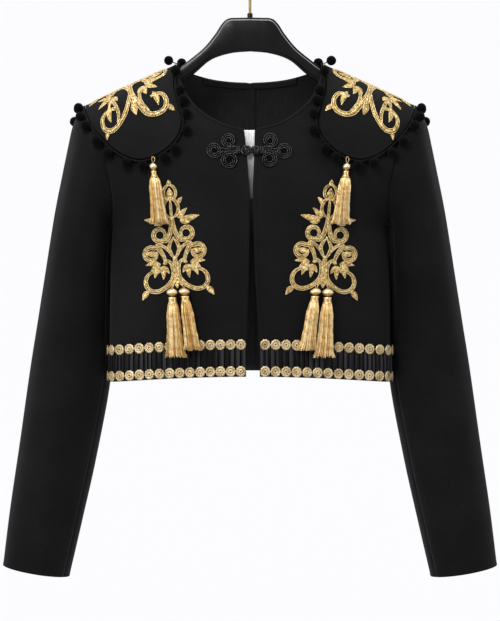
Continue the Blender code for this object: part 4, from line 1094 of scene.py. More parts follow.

# %% [markdown]
# ## Gold thread embroidery
# Bullfight dress is embroidered with metal thread laid over padding: satin fillings whose threads run
# across the shape, and twisted cords couched round their edges. Each motif is composed here from a
# few ordinary ornaments, scrolls, rings, leaves and stems, in its own plane in millimetres, and then
# laid on the cloth's surface. A band is swept along its line with a low crown, so light runs along it.
# The material reads each band's own lengths along and across: fillings are striped across, cords
# slanted like twisted thread. Each band carries a painted shade, darker towards its edges and in its
# groove, with the cords painted lighter than the fillings, and mottling a few mm across is painted glints.

# %% Gold thread
gold, tree, shader = material("gold_metal_thread_couched", Roughness=0.29, Metallic=0.72,
    Specular_IOR_Level=0.5)
uv = add(tree, "ShaderNodeUVMap", uv_map="cut")
split = add(tree, "ShaderNodeSeparateXYZ", {"Vector": uv})
kind = add(tree, "ShaderNodeAttribute", attribute_name="cordlike")
slant = add(tree, "ShaderNodeMath", {0: split.outputs["Y"], 1: kind.outputs["Fac"]}, operation="MULTIPLY")
sum_at = add(tree, "ShaderNodeMath", {0: split.outputs["X"], 1: slant}, operation="ADD")
THREAD_PITCH = 1.7  # bundles of thread, in mm
turns = add(tree, "ShaderNodeMath", {0: sum_at, 1: 2 * math.pi / (THREAD_PITCH * MM)}, operation="MULTIPLY")
place = add(tree, "ShaderNodeTexCoord").outputs["Object"]
wobble = add(tree, "ShaderNodeTexNoise", {"Vector": place, "Scale": 420.0, "Detail": 2.0})
turns = add(tree, "ShaderNodeMath", {0: wobble, 1: 4.0, 2: turns}, operation="MULTIPLY_ADD")
wave = add(tree, "ShaderNodeMath", {0: turns}, operation="SINE")
thread = add(tree, "ShaderNodeMath", {0: wave, 1: 0.24, 2: 0.5}, operation="MULTIPLY_ADD")
# Mottling a few mm across is painted light, glints where the threads catch the lamps; it also sets the bump.
glints_and_relief = add(tree, "ShaderNodeTexNoise", {"Vector": place, "Scale": 330.0, "Detail": 2.0, "Roughness": 0.7})
glints_and_relief = add(tree, "ShaderNodeMath", {0: glints_and_relief, 1: 1.5, 2: thread}, operation="MULTIPLY_ADD")
# The bands' painted shade darkens the gold at their edges and in their grooves.
shade = add(tree, "ShaderNodeAttribute", attribute_name="shade")
lit = add(tree, "ShaderNodeMath", {0: shade.outputs["Fac"], 1: 0.9, 2: glints_and_relief}, operation="MULTIPLY_ADD")
lit = add(tree, "ShaderNodeMath", {0: lit, 1: 1.28}, operation="SUBTRACT")
surface(tree, shader, lit, [(0.0, "#2c1d08"), (0.27, "#8d672a"), (0.55, "#d6b268"), (0.85, "#fff0bc")],
    glints_and_relief, 0.9, 0.0007)
print("material:", gold.name)

# %% Bands, leaves and scrolls
SECTION = np.array([-1, -0.86, -0.55, -0.2, 0, 0.2, 0.55, 0.86, 1])
CORD_SECTION = np.array([-1, -0.66, 0, 0.66, 1])


class Motif:
    """Ornaments in a plane in mm, laid on a surface by place(a, b, lift)."""

    def __init__(self, place):
        self.place, self.count = place, 0
        self.points, self.faces, self.cut, self.cordlike, self.shade = [], [], [], [], []

    def band(self, line, half, high, cordlike=0, groove=0.0, base=0.25, shade=0.5, section=SECTION):
        """Padded band along a line; half is its half width at each point."""
        line = np.asarray(line, float)
        half = np.broadcast_to(np.asarray(half, float), len(line))[:, None]
        at = line[:, None, :] + self.aside(line)[:, None, :] * (half * section)[..., None]
        crown = np.sqrt(1 - section ** 2) - groove * np.exp(-(section / 0.22) ** 2)
        full = np.clip(half / half.max(), 0.35, 1)
        lift = base + high * crown[None, :] * full
        places = self.place(at[..., 0], at[..., 1], lift)[0]
        rows, columns = at.shape[:2]
        self.points.append(places.reshape(-1, 3))
        walk = walk_along(line)[:, None] + 0 * section
        self.cut.append(np.stack([walk, half * section], -1).reshape(-1, 2))
        self.cordlike.append(np.full(rows * columns, float(cordlike)))
        # Painted shade: the band is darker towards its edges and in its groove, scaled by its shade.
        sunk = 0.5 * groove * np.exp(-(section / 0.25) ** 2)
        shades = np.clip(shade * (0.1 + 0.9 * np.sqrt(1 - section ** 2)) - sunk, 0, 1)
        self.shade.append(np.tile(shades, rows))
        self.faces += round_faces(rows, columns, self.count)
        self.count += rows * columns

    def cord(self, line, half=0.72, high=1.15, base=0.25):
        """Twisted cord couched on the cloth."""
        self.band(line, half, high, cordlike=1, base=base, shade=0.9, section=CORD_SECTION)

    def scroll(self, rows, wide, start=0.45, stop=0.6):
        """Scroll through some points: a satin filling between two cords, narrower at its ends."""
        line = self.smooth(rows)
        share = np.linspace(0, 1, len(line))
        half = wide / 2 * np.minimum(start + (1 - start) * np.clip(share / 0.25, 0, 1),
            stop + (1 - stop) * np.clip((1 - share) / 0.25, 0, 1))
        self.band(line, np.maximum(half - 1.35, 0.45), 1.5, shade=0.62)
        for way in (-1, 1):
            self.cord(line + way * self.aside(line) * (half[:, None] - 0.7))

    def leaf(self, base, tip, wide, bend=0.0):
        """Pointed leaf of satin stitch with a sunk vein and a fine cord round it."""
        base, tip = np.array(base, float), np.array(tip, float)
        sideways = np.array((base[1] - tip[1], tip[0] - base[0]))
        share = np.linspace(0, 1, max(7, int(np.linalg.norm(tip - base) / 1.1)))
        line = base + (tip - base) * share[:, None] + sideways * (bend * np.sin(np.pi * share))[:, None]
        half = wide / 2 * np.maximum(np.sin(np.pi * share ** 0.8) ** 1.05, 0.1)
        self.band(line, half, 1.15, groove=0.35, shade=0.7)
        for way in (-1, 1):
            self.cord(line + way * self.aside(line) * half[:, None], half=0.42, high=0.8)

    def spray(self, at, towards, reach, wide, count=5, spread=150):
        """Leaves that fan out from one place, the middle ones longer."""
        start = math.atan2(towards[1] - at[1], towards[0] - at[0])
        for k in range(count):
            turn = (k / (count - 1) - 0.5) * math.radians(spread)
            long = reach * (1 - 0.25 * abs(turn) / math.radians(spread / 2))
            way = np.array((math.cos(start + turn), math.sin(start + turn)))
            self.leaf(np.array(at) + way * 1.2, np.array(at) + way * long, wide, bend=0.10 * np.sign(turn))

    @staticmethod
    def aside(line):
        """Directions across a line, to its left."""
        along = unit(np.gradient(line, axis=0))
        return np.stack([-along[:, 1], along[:, 0]], 1)

    @staticmethod
    def smooth(rows):
        """Smooth line through the rows, with a point about every mm."""
        return path(rows, np.linspace(0, 1, max(6, int(walk_along(rows)[-1]))))

    def make(self, name):
        made = mesh_object(name, np.concatenate(self.points), self.faces, gold, np.concatenate(self.cut))
        keep(made.data, "cordlike", np.concatenate(self.cordlike))
        keep(made.data, "shade", np.concatenate(self.shade))
        return face_out(made)


def draw_strokes(motif, strokes, mirror, bent=1):
    """Draw scrolls, leaves and sprays: each stroke is its kind, its points and its sizes."""
    for kind, rows, *sizes in strokes:
        rows = np.array(rows) * mirror
        if kind == "leaf":
            motif.leaf(*rows, sizes[0], *(bent * bend for bend in sizes[1:]))
        elif kind == "spray":
            motif.spray(*rows, *sizes)
        else:
            motif.scroll(rows, *sizes)


def curl(centre, radius, start, turn, shrink=0.8, steps=14):
    """Points round a centre, from a start angle through a turn in degrees, drawing in at the end."""
    share = np.linspace(0, 1, steps)
    angle = np.radians(start + turn * share)
    reach = radius * (1 - (1 - shrink) * share)
    return [(centre[0] + r * math.cos(a), centre[1] + r * math.sin(a)) for r, a in zip(reach, angle)]

# %% [markdown]
# ## Ornament on the fronts
# Each front carries one tall ornament: a bud on a stem, a crown of leaves, two pairs of rings, and two
# large scrolls with sprays that hold the tassels. It is drawn for one half, s away from its own axis
# and t up, and repeated on the other half. The axis leans a little outwards at the top.

# %% Front ornament
APPLIQUE_AT = (94.4, -387.5)  # its crossing, from the middle and up
APPLIQUE_LEAN = (-0.084, 0.9965)


def front_place(side):
    def place(s, t, lift):
        a = s * APPLIQUE_LEAN[1] + t * APPLIQUE_LEAN[0]
        b = -s * APPLIQUE_LEAN[0] + t * APPLIQUE_LEAN[1]
        return on_body(side, APPLIQUE_AT[0] - a, APPLIQUE_AT[1] + b, lift)
    return place


# Strokes of one half: a scroll has its width and its shares of that at both ends, a leaf its width
# and bend, a spray the place it grows from, where it points, its reach, width, count and spread.
FRONT_HALF = [
    ("scroll", [(1.5, 51), (2.2, 41), (4.6, 31), (9.5, 24.6)] + curl((17.0, 32.2), 8.3, -112, 330),
        6.2, 0.5, 0.5),
    ("scroll", [(0.9, 25.5), (4.9, 20), (6.4, 14.0), (4.6, 8.0), (1.2, 2)], 4.8),
    ("scroll", [(5.8, 9.0), (10.5, 15.0), (17.0, 19.2), (23.0, 20.6)], 4.2, 0.7, 0.5),
    ("scroll", [(12.0, -5.5), (13.2, 2.5), (17.0, 11.0), (21.5, 16.5)]
        + curl((29.8, 8.8), 8.5, 118, -318, shrink=0.88), 6.0, 0.6, 0.45),
    ("leaf", [(20.6, 7.6), (37.0, 10.4)], 6.6),
    ("scroll", [(20.0, -14.4), (27.5, -13.4), (34.6, -16.4), (39.0, -23.0), (39.0, -31.0), (34.0, -37.2),
        (26.0, -39.0), (17.0, -36.0), (9.0, -30.0), (4.0, -22.0), (3.6, -11.5), (6.4, -3.4), (11.2, -1.0),
        (14.6, -5.6)], 5.8, 0.5, 0.6),
    ("leaf", [(36.6, -37.0), (45.6, -48.4)], 6.4, 0.06),
    ("spray", [(18.6, -7.0), (21.5, -20)], 19.0, 5.4, 4, 112),
    ("leaf", [(19, -5), (38.0, -4.6)], 6.0, 0.08),
    ("spray", [(9.6, 50.0), (19.5, 56.4)], 18.5, 5.8, 4, 104),
    ("leaf", [(13.5, 48.8), (35.0, 53.0)], 6.8),
    ("scroll", [(0.8, 51.5), (8.0, 58.2), (9.4, 65.8), (6.4, 73.2), (0.8, 77.6)], 4.4),
    ("leaf", [(6.2, 68.5), (15.4, 77.4)], 5.2),
    ("scroll", [(0.2, 74.8), (6.3, 78.8), (7.6, 85.6), (5.0, 91.4), (0.2, 95.0)], 4.2),
    ("leaf", [(1.2, -25.0), (6.4, -34.6)], 4.4, 0.1)]
FRONT_MIDDLE = [
    ("scroll", [(0, 50), (0, 63), (0, 76)], 3.8), ("leaf", [(0, 76.5), (0, 90.0)], 7.6),
    ("leaf", [(0, 92.6), (0, 100.6)], 5.0), ("scroll", [(0, 4), (0, -10), (0, -25)], 6.2, 0.8, 0.7),
    ("leaf", [(0, -25.0), (0, -36.4)], 5.6)]
FRONT_SEEDS = [(51, 5.0), (1.5, 5.6), (26.8, 3.8), (-24.5, 4.4)]  # height and width

for side_name, side in SIDES:
    motif = Motif(front_place(side))
    for half in (1, -1):
        draw_strokes(motif, FRONT_HALF, (half, 1), half)
    draw_strokes(motif, FRONT_MIDDLE, (1, 1))
    for t, wide in FRONT_SEEDS:
        motif.band([(0, t + wide * k / 4) for k in (-2, -1, 0, 1, 2)],
            wide / 2 * np.array((0.3, 0.85, 1, 0.85, 0.3)), 2.0, shade=0.9)
    settle(motif.make(f"ornament_front_{side_name}"), "gold_thread", f"applique_{side_name}")
print("front ornament:", motif.count, "points")

# %% [markdown]
# ## Ornament on the shoulder pieces
# The shoulder ornament hangs from the ridge and repeats behind it: a stem, two large curls with a leaf
# at the tip, two sprays and an open ring towards the neck. It is drawn in the shoulder piece's own
# millimetres, so that it follows the cloth over the ridge.

# %% Shoulder ornament
SHOULDER_HALF = [
    ("scroll", [(67.5, 0), (65.5, 22), (62.2, 44), (59.6, 60)], 7.4, 0.8, 0.8),
    ("leaf", [(60.6, 56), (57.6, 77)], 7.8),
    # Large curls: towards the neck, then towards the outer end.
    ("scroll", [(63.5, 30), (58.5, 50), (50.0, 69)] + curl((31.0, 71.0), 16.2, 34, 262, shrink=0.84),
        7.2, 0.6, 0.6),
    ("scroll", [(65.0, 40), (67.4, 56), (73.6, 71)] + curl((91.5, 66.0), 16.2, 138, -258, shrink=0.84),
        7.2, 0.6, 0.6),
    ("leaf", [(16.4, 79.5), (8.6, 92.0)], 6.6),
    ("leaf", [(99.0, 78.0), (105.5, 89.0)], 6.6),
    # Arches from the stem to the sprays, and their inner stems.
    ("scroll", [(65.8, 30), (60.5, 15), (51.5, 12), (44.0, 20), (41.8, 32)], 6.0),
    ("scroll", [(66.8, 30), (74.5, 13), (84.0, 13), (90.0, 26)], 6.0),
    ("scroll", [(48.5, 36), (51.5, 50), (49.0, 64), (41.0, 78)], 4.8, 0.6, 0.4),
    ("scroll", [(90.5, 34), (84.0, 50), (80.5, 64), (83.0, 78)], 4.8, 0.6, 0.4),
    ("spray", [(43.5, 33), (29.0, 44)], 21.0, 6.4, 5, 190),
    ("spray", [(91.5, 30), (104.0, 38)], 21.0, 6.4, 5, 190),
    ("leaf", [(34.0, 51), (28.0, 76)], 6.8, 0.08),
    ("leaf", [(92.5, 46), (92.0, 70)], 6.8, -0.08),
    # Open ring towards the neck, a leafed branch towards the outer end, and leaves along the ridge.
    ("scroll", [(47.0, 22), (38.0, 11.0), (26.0, 8.2), (15.5, 13.5), (15.0, 22.5), (23.0, 27.5),
        (36.0, 25.0)], 5.8),
    ("leaf", [(38.0, 18.0), (20.0, 18.0)], 6.4),
    ("scroll", [(88.0, 18), (98.0, 9.0), (109.0, 9.5), (117.0, 17.0)], 5.6),
    ("leaf", [(111.0, 11.0), (123.0, 24.0)], 7.4, 0.1),
    ("scroll", [(24.0, 2.6), (44.0, 4.2), (66.0, 3.0), (90.0, 4.2), (114.0, 3.0)], 5.0),
    *(("leaf", [(r0, 6.0), (r1, 13.0)], 5.8) for r0, r1 in ((56, 44), (76, 88), (98, 108), (36, 27)))]

for side_name, side in SIDES:
    motif = Motif(flaps[side].place)
    for way in (1, -1):
        draw_strokes(motif, SHOULDER_HALF, (1, way))
    settle(motif.make(f"ornament_shoulder_{side_name}"), "gold_thread", f"embroidery_{side_name}")
print("shoulder ornament:", motif.count, "points")

# %% [markdown]
# ## Hem trim: pleated satin between two rows of lace medallions
# A band of black satin ribbon is laid in small knife pleats above the hem: each rises sharply at one
# fold and slopes away to the next, and no two are quite the same width. The medallions are machine
# lace in pale metal thread, round, scalloped, pierced round a small eye and linked by threads, sold by
# the metre. They follow the hem at an even pitch of walked length, so at the side they turn away.

# %% Satin and lace
satin, tree, shader = material("black_satin_ribbon_pleated", Roughness=0.34, Specular_IOR_Level=0.16)
grain = add(tree, "ShaderNodeTexNoise", {"Vector": thread_place(tree, (4.0, 0.25, 1)), "Scale": 1.0,
    "Detail": 2.0})
# The satin is painted by the pleats' rise: dark in the folds as painted shade, lighter on the ridges as
# painted sheen.
rise = add(tree, "ShaderNodeAttribute", attribute_name="rise")
tone_and_painted_shade = add(tree, "ShaderNodeMath", {0: grain, 1: 0.3, 2: rise.outputs["Fac"]}, operation="MULTIPLY_ADD")
surface(tree, shader, tone_and_painted_shade, [(0.5, "#000000"), (0.85, "#040405"), (1.15, "#2c2c30")], grain, 0.25, 0.00015)

lace, tree, shader = material("pale_gold_lace_machine_made", Roughness=0.4, Metallic=0.5,
    Specular_IOR_Level=0.5)
place = add(tree, "ShaderNodeTexCoord").outputs["Object"]
# The lace is painted darker in the grooves along the edges of its thread loops: painted shade over its own
# pattern.
loops = add(tree, "ShaderNodeTexVoronoi", {"Vector": place, "Scale": 900.0}, feature="DISTANCE_TO_EDGE")
broad = add(tree, "ShaderNodeTexNoise", {"Vector": place, "Scale": 120.0, "Detail": 2.0})
tone_and_painted_shade = add(tree, "ShaderNodeMath", {0: loops, 1: 1.1, 2: broad}, operation="MULTIPLY_ADD")
surface(tree, shader, tone_and_painted_shade, [(0.3, "#67532c"), (0.55, "#bda374"), (0.88, "#efdbb0")], loops, 0.6, 0.0004)
print("materials:", satin.name, lace.name)

# %% Strips round the hem
BAND_HEIGHT = (1.0, 40.0)
MEDALLION_ROWS = {"lower": 6.9, "upper": 40.6}
MEDALLION_PITCH = 12.8
PLEAT = 7.0
PLEAT_SECTION = [(0.0, 0.0), (0.04, 0.55), (0.10, 0.88), (0.2, 1.0), (0.36, 0.96), (0.54, 0.86),
    (0.72, 0.72), (0.88, 0.52), (0.96, 0.2)]


def hem_line(side, face, height, count=240):
    """Places of a line round one quarter of the hem, centre to side, at a height above it."""
    bent = np.sin(np.linspace(0, 1, count) * math.pi / 2)
    foot = float(inner_edge(side, face, 0)[0])
    x = foot + (SIDE["x"][0] - foot) * bent
    z = hem_z(x) + height
    x = x * np.minimum(1, half_width(z, face) / SIDE["x"][0])
    y = body_y(x, z, side, face)
    y[-1] = side_y(z[-1]) + face * HALF_GAP
    return np.stack([side * x, y, z], -1)


def hem_strip(face, side, heights):
    """Grid of lines round the hem: one quarter of it, or the whole back where side is None."""
    lines = []
    for height in heights:
        if side is None:
            right, left = hem_line(-1, face, height), hem_line(1, face, height)
            lines.append(np.concatenate([right[::-1], left[1:]]))
        else:
            lines.append(hem_line(side, face, height))
    return np.array(lines)


def along_strip(strip, at):
    """A strip's lines read at distances walked along its middle line, with its normals."""
    middle = strip[len(strip) // 2]
    walk = walk_along(middle)
    found = normals(strip, (0, 1 if middle[:, 1].mean() > 0 else -1, 0))
    read_at = lambda rows: np.array([[np.interp(at, walk, column) for column in row.T] for row in rows])
    return read_at(strip).transpose(0, 2, 1), read_at(found).transpose(0, 2, 1), walk[-1]


STRIPS = [("front_right", FRONT, -1), ("front_left", FRONT, 1), ("back", BACK, None)]
band_cuts = {}
for index, (title, face, side) in enumerate(STRIPS):
    draw = np.random.default_rng(300 + index)
    heights = np.linspace(*BAND_HEIGHT, 9)
    strip = hem_strip(face, side, heights)
    total = along_strip(strip, np.array([0.0]))[2]
    count = round(total / PLEAT)
    wide = 1 + draw.uniform(-0.22, 0.22, count)
    starts = np.concatenate([[0], np.cumsum(wide / wide.sum() * total)])
    t, high = np.array(PLEAT_SECTION).T
    at = np.append((starts[:-1, None] + t * np.diff(starts)[:, None]).ravel(), total)
    rise = np.append(np.tile(high, count), 0.1)
    which = np.append(np.repeat(np.arange(count), len(t)), count - 1)
    grid, found, _ = along_strip(strip, at)
    swell = 0.8 + 0.35 * draw.uniform(0, 1, count)[which]
    sway = draw.uniform(-0.5, 0.5, (count, 2))[which]
    high = (heights - heights[0]) / (heights[-1] - heights[0])
    pressed = 0.62 + 0.38 * np.sin(np.pi * np.clip((high - 0.18) / 0.64, 0, 1)) ** 0.5
    lift = 0.9 + 1.9 * pressed[:, None] * (swell * rise)[None]
    lift = lift + 0.12 * np.sin(4 * high[:, None] + 6 * sway[None, :, 0]) * rise[None]
    shift = sway[None, :, 0] * np.sin(np.pi * high[:, None]) * 0.7 * (at[None] > 1) * (at[None] < total - 1)
    grid = grid + found * lift[..., None] + unit(np.gradient(grid, axis=1)) * shift[..., None]
    walk = walked(grid, 1)
    cut = np.stack([walk, walked(grid, 0)], -1)
    made = cloth_wall(f"satin_pleats_{title}", grid, found, satin, low=-0.5, high=0.0, cut=cut)
    # The rise is kept for the satin's painted shade in the folds and painted sheen on the ridges.
    flat_rise = np.broadcast_to(rise * swell / 1.15, grid.shape[:2]).ravel()
    shades = np.zeros(len(made.data.vertices))
    shades[:2 * flat_rise.size] = np.tile(flat_rise, 2)
    keep(made.data, "rise", shades)
    band_cuts[made.name] = (BAND_HEIGHT[1] - BAND_HEIGHT[0], float(walk[len(walk) // 2, -1]))
    settle(made, "satin_band", f"pleated_band_{title}")
print("pleated bands:", {name: [round(c) for c in cut] for name, cut in band_cuts.items()})

# %% Medallions
MEDALLION_RADII = [(0.85, 0.8), (1.9, 1.1), (2.9, 0.6), (3.95, 0.95), (5.3, 0.95), (6.3, 0.35)]
MEDALLION_SIDES = 20


def medallion():
    """One pierced, scalloped medallion in the xy plane, its face to +z, as a closed mesh."""
    shape = bmesh.new()
    rings = []
    for level in (1, 0):
        for k, (radius, high) in enumerate(MEDALLION_RADII):
            ring = []
            for n in range(MEDALLION_SIDES):
                angle = 2 * math.pi * n / MEDALLION_SIDES
                reach = radius * (1 + (0.05 if k > 3 else 0) * math.cos(angle * 10))
                z = (high + (0.12 if n % 2 and k in (2, 3, 4) else 0)) * level
                ring.append(shape.verts.new((reach * math.cos(angle) * MM,
                    reach * 1.06 * math.sin(angle) * MM, z * MM)))
            rings.append(ring)
    half = len(MEDALLION_RADII)
    holes = {(2, n) for n in range(0, MEDALLION_SIDES, 2)}
    solid = lambda k, n: 0 <= k < half - 1 and (k, n % MEDALLION_SIDES) not in holes
    for k in range(half - 1):
        for n in range(MEDALLION_SIDES):
            if not solid(k, n):
                continue
            after = (n + 1) % MEDALLION_SIDES
            top, low = rings[k], rings[half + k]
            top2, low2 = rings[k + 1], rings[half + k + 1]
            shape.faces.new((top[n], top2[n], top2[after], top[after]))
            shape.faces.new((low[n], low[after], low2[after], low2[n]))
            for a, b, there in (((top[n], top[after]), (low[n], low[after]), solid(k - 1, n)),
                    ((top2[n], top2[after]), (low2[n], low2[after]), solid(k + 1, n)),
                    ((top[n], top2[n]), (low[n], low2[n]), solid(k, n - 1)),
                    ((top[after], top2[after]), (low[after], low2[after]), solid(k, n + 1))):
                if not there:
                    shape.faces.new((a[0], a[1], b[1], b[0]))
    bmesh.ops.recalc_face_normals(shape, faces=shape.faces)
    return modelled("medallion", shape, lace)


MEDALLION_EASED = 1.35  # how much further apart, at most, where the hem turns to the side


def medallion_places(strip):
    """Distances along a strip for its medallions, and how much each is eased along it.

    The lace was stretched as it was sewn round the turn of the side, so it looks even from the front.
    """
    walk = np.linspace(0, along_strip(strip, np.array([0.0]))[2], 600)
    line = along_strip(strip, walk)[0][1]
    slope = np.abs(np.gradient(line[:, 0], walk))
    eased = np.clip(1 / np.maximum(slope, 0.05), 1, MEDALLION_EASED)
    eased = np.convolve(np.pad(eased, 15, mode="edge"), np.ones(31) / 31, mode="valid")
    steps = np.append(0, np.cumsum((1 / eased[1:] + 1 / eased[:-1]) / 2 * np.diff(walk)))
    count = round(steps[-1] / MEDALLION_PITCH)
    at = np.interp((np.arange(count) + 0.5) * steps[-1] / count, steps, walk)
    return at, np.interp(at, walk, eased)


LACE_LIFT, LINK_LIFT = 2.75, 3.1  # how far the medallions and the threads between them stand off
LINK_SHARES = np.array([0.38, 0.5, 0.62])[:, None]
medallions_made = 0
for index, (title, face, side) in enumerate(STRIPS):
    for row, middle in MEDALLION_ROWS.items():
        strip = hem_strip(face, side, (middle - 5, middle, middle + 5))
        at, stretch = medallion_places(strip)
        places, found, _ = along_strip(strip, at)
        draw = np.random.default_rng(500 + 10 * index + len(row))
        axes = []
        for low, high, out in zip(places[0], places[2], found[1]):
            spin = Matrix.Rotation(draw.uniform(-0.12, 0.12), 3, "Z")
            axes.append(frame_of(out, np.cross(high - low, out)) @ np.array(spin))
        ones = np.ones(len(at))
        sizes = draw.uniform(0.97, 1.02, len(at))[:, None] * np.stack([stretch, ones, ones], 1)
        discs = scattered(f"discs_{row}_{title}", medallion(), places[1] + found[1] * LACE_LIFT, axes,
            sizes, lace)
        links = [here * (1 - LINK_SHARES) + after * LINK_SHARES + (0, 0, up) + out * LINK_LIFT
            for here, after, out in zip(places[1], places[1][1:], found[1]) for up in (-0.8, 0.8)]
        threads = cords(f"links_{row}_{title}", links, 0.42, lace, plies=3, groove=0.9, pitch=2, step=1.2)
        made = together(f"lace_medallions_{row}_{title}", [discs, threads])
        settle(made, "pale_gold_lace", f"medallions_{row}_{title}")
        medallions_made += len(at)
print("medallions:", medallions_made)

# %% [markdown]
# ## Frog fastening
# The one fastening is a pair of frogs: a length of round cord coiled into three eyes and drawn into a
# neck, sewn to each front. The right one carries a knotted button and the left one the loop that holds
# it. Each eye is a spiral of three turns, the cord laid side by side and stitched from behind. The
# button is a true knot: one cord that runs round a small oval, over and under itself.

# %% Frogs
# Eyes of each frog: x and z of the centre and the radius.
FROG_LOOPS = {"right": [(26.7, -237.5, 10.6), (45.0, -250.0, 11.1), (25.7, -262.6, 12.2)],
    "left": [(25.1, -237.5, 11.0), (43.0, -250.6, 11.4), (24.1, -261.6, 11.5)]}
FROG_NECKS = [[(38.5, -247.4), (28, -249.0), (18, -249.2), (9, -250.4)],
    [(38.5, -253.4), (28, -251.6), (18, -251.6), (9, -250.4)],
    [(29.5, -245.6), (22, -246.2), (15, -247.3), (9, -249.6)],
    [(29.5, -255.0), (22, -254.4), (15, -253.3), (9, -251.2)]]
FROG_Z = -250.4
FROG_CORD = 0.85
BRAIDED = {"plies": 3, "groove": 0.62, "pitch": 4.2, "step": 0.8}  # twist of the frog's cord
EYE_STEP = 2.5  # between the turns of an eye
BACKING_IN = 1.2  # how far the black felt behind an eye stays inside its outer turn


def eye(x, z, radius, towards, way):
    """Spiral of an eye from its outer turn in, starting on the side of the neck."""
    start = math.atan2(FROG_Z - z, towards - x)
    angle = np.linspace(0, 2 * math.pi * 2.9, 110)
    reach = radius - FROG_CORD - EYE_STEP * angle / (2 * math.pi)
    return np.stack([x + reach * np.cos(start + way * angle), z + reach * np.sin(start + way * angle)], 1)


def backing(side, x, z, radius):
    """Round of black felt under the turns of an eye: a backing, and a dark sheet that stands in as shade in
    the gaps between them.
    """
    angle, reach = np.meshgrid(np.linspace(0, 2 * math.pi, 41)[:-1], [0.4, radius - BACKING_IN])
    grid, found = on_body(side, x + reach * np.cos(angle), z + reach * np.sin(angle), GAP)
    rings = np.concatenate([grid + 0.1 * found, (grid + 0.9 * found)[::-1]])
    return closed_rounds("eye_backing", rings, felt, 0.5)


for side_name, side in SIDES:
    rounds, lines = [backing(side, *loop) for loop in FROG_LOOPS[side_name]], []
    for (x, z, radius), way in zip(FROG_LOOPS[side_name], (1, 1, -1)):
        lines.append(on_body(side, *eye(x, z, radius, 12.0, way).T, GAP + FROG_CORD)[0])
    for k, rows in enumerate(FROG_NECKS):
        line = path(rows, np.linspace(0, 1, 24))
        lines.append(on_body(side, *line.T, GAP + FROG_CORD * (1.35 if k < 2 else 1.9))[0])
    # Two turns bind the neck.
    for x in (13.5, 16.0):
        t = np.linspace(-1.15, 1.15, 20)
        z = FROG_Z + 5.0 * np.sin(t * math.pi / 2)
        lines.append(on_body(side, x, z, GAP + FROG_CORD + 2.0 * np.cos(t * math.pi / 2.4).clip(0))[0])
    made = cords(f"frog_cord_{side_name}", lines, FROG_CORD, shiny_cord, **BRAIDED)
    made = together(f"frog_cord_{side_name}_sewn", [made, *rounds])
    settle(made, "black_cord", f"frog_{side_name}")

# %% Knot button
KNOT_HALVES = [(-4.6, (5.4, 3.9, 6.4)), (6.6, (4.6, 3.4, 5.6))]
knot_y = float(on_body(1, 0.0, FROG_Z)[0][1]) - GAP - 3.9
knots = []
for x, (wide, deep, tall) in KNOT_HALVES:
    t = np.linspace(0, 2 * math.pi, 260)
    up, round_by = 1.12 * np.sin(4 * t), 3 * t
    reach = 1 + 0.13 * np.cos(8 * t + 0.6)
    line = np.stack([x + wide * reach * np.cos(up) * np.sin(round_by),
        knot_y + deep * reach * np.cos(up) * np.cos(round_by), FROG_Z + tall * reach * np.sin(up)], 1)
    knots.append(cords("knot", [line[:-1]], 1.15, shiny_cord, closed=True, **BRAIDED))
    core = bmesh.new()
    bmesh.ops.create_icosphere(core, subdivisions=2, radius=MM)
    for vertex in core.verts:
        vertex.co = Vector((x, knot_y, FROG_Z)) * MM + vertex.co * Vector((wide, deep, tall)) * 0.85
    knots.append(modelled("knot_core", core, shiny_cord, smooth=False))
settle(together("frog_knot_button", knots), "black_cord", "frog_knot")
print("frog cords and the knot are", FROG_CORD * 2, "mm thick")

# %% Ribbon behind the front edges
# A short pale satin ribbon, folded down its middle, is sewn behind the front edges at the neck. It shows
# in the gap on each side of the knot, paler at the top and painted darker towards its foot, as shade deeper
# in the gap.
ribbon, tree, shader = material("pale_satin_ribbon_woven", Roughness=0.4, Specular_IOR_Level=0.4)
place = add(tree, "ShaderNodeTexCoord").outputs["Object"]
height = add(tree, "ShaderNodeSeparateXYZ", {"Vector": place})
drawn = add(tree, "ShaderNodeMapping", {"Vector": place, "Scale": (700, 700, 30)})
grain = add(tree, "ShaderNodeTexNoise", {"Vector": drawn, "Scale": 1.0, "Detail": 2.0})
RIBBON_TOP, RIBBON_FOOT, RIBBON_HALF = -223.5, -311.0, 10.0
# Painted shade: the ribbon darkens from its top down to its foot.
fade = add(tree, "ShaderNodeMapRange", {"Value": height.outputs["Z"], "From Min": RIBBON_FOOT * MM,
    "From Max": RIBBON_TOP * MM, "To Min": 0.0, "To Max": 0.85})
tone_and_painted_shade = add(tree, "ShaderNodeMath", {0: grain, 1: 0.3, 2: fade}, operation="MULTIPLY_ADD")
surface(tree, shader, tone_and_painted_shade, [(0.12, "#141415"), (0.35, "#5a5a5b"), (0.75, "#9a9a9b"), (1.05, "#e2e2e2")])
x, level = np.meshgrid(np.linspace(-1, 1, 21), np.linspace(0, 1, 45))
z = RIBBON_FOOT + (RIBBON_TOP - RIBBON_FOOT) * level
grid, found = on_body(1, np.abs(x) * RIBBON_HALF, z, -CLOTH - 0.8, FRONT)
grid[..., 0], found[..., 0] = x * RIBBON_HALF, found[..., 0] * np.sign(x)
grid[..., 1] += 1.6 * np.exp(-(x * 4) ** 2)
made = cloth_wall("satin_ribbon_neck_front", grid, found, ribbon, low=-0.5)
panels["ribbon", "front"] = settle(made, "satin_band")
print("ribbon:", len(made.data.polygons), "faces")

# %% [markdown]
# ## Tassels
# Each tassel is turned work and thread: a wooden ball wrapped from top to bottom in shiny rayon, a
# neck bound with a few turns of cord, and a skirt of straight strands over a fuller core. The strands
# are cut by hand, so the foot is a little ragged and curls out. Two small loops of gold cord hold each
# one to the cloth. The strands run as lines through the cord tree, thinner towards their ends.

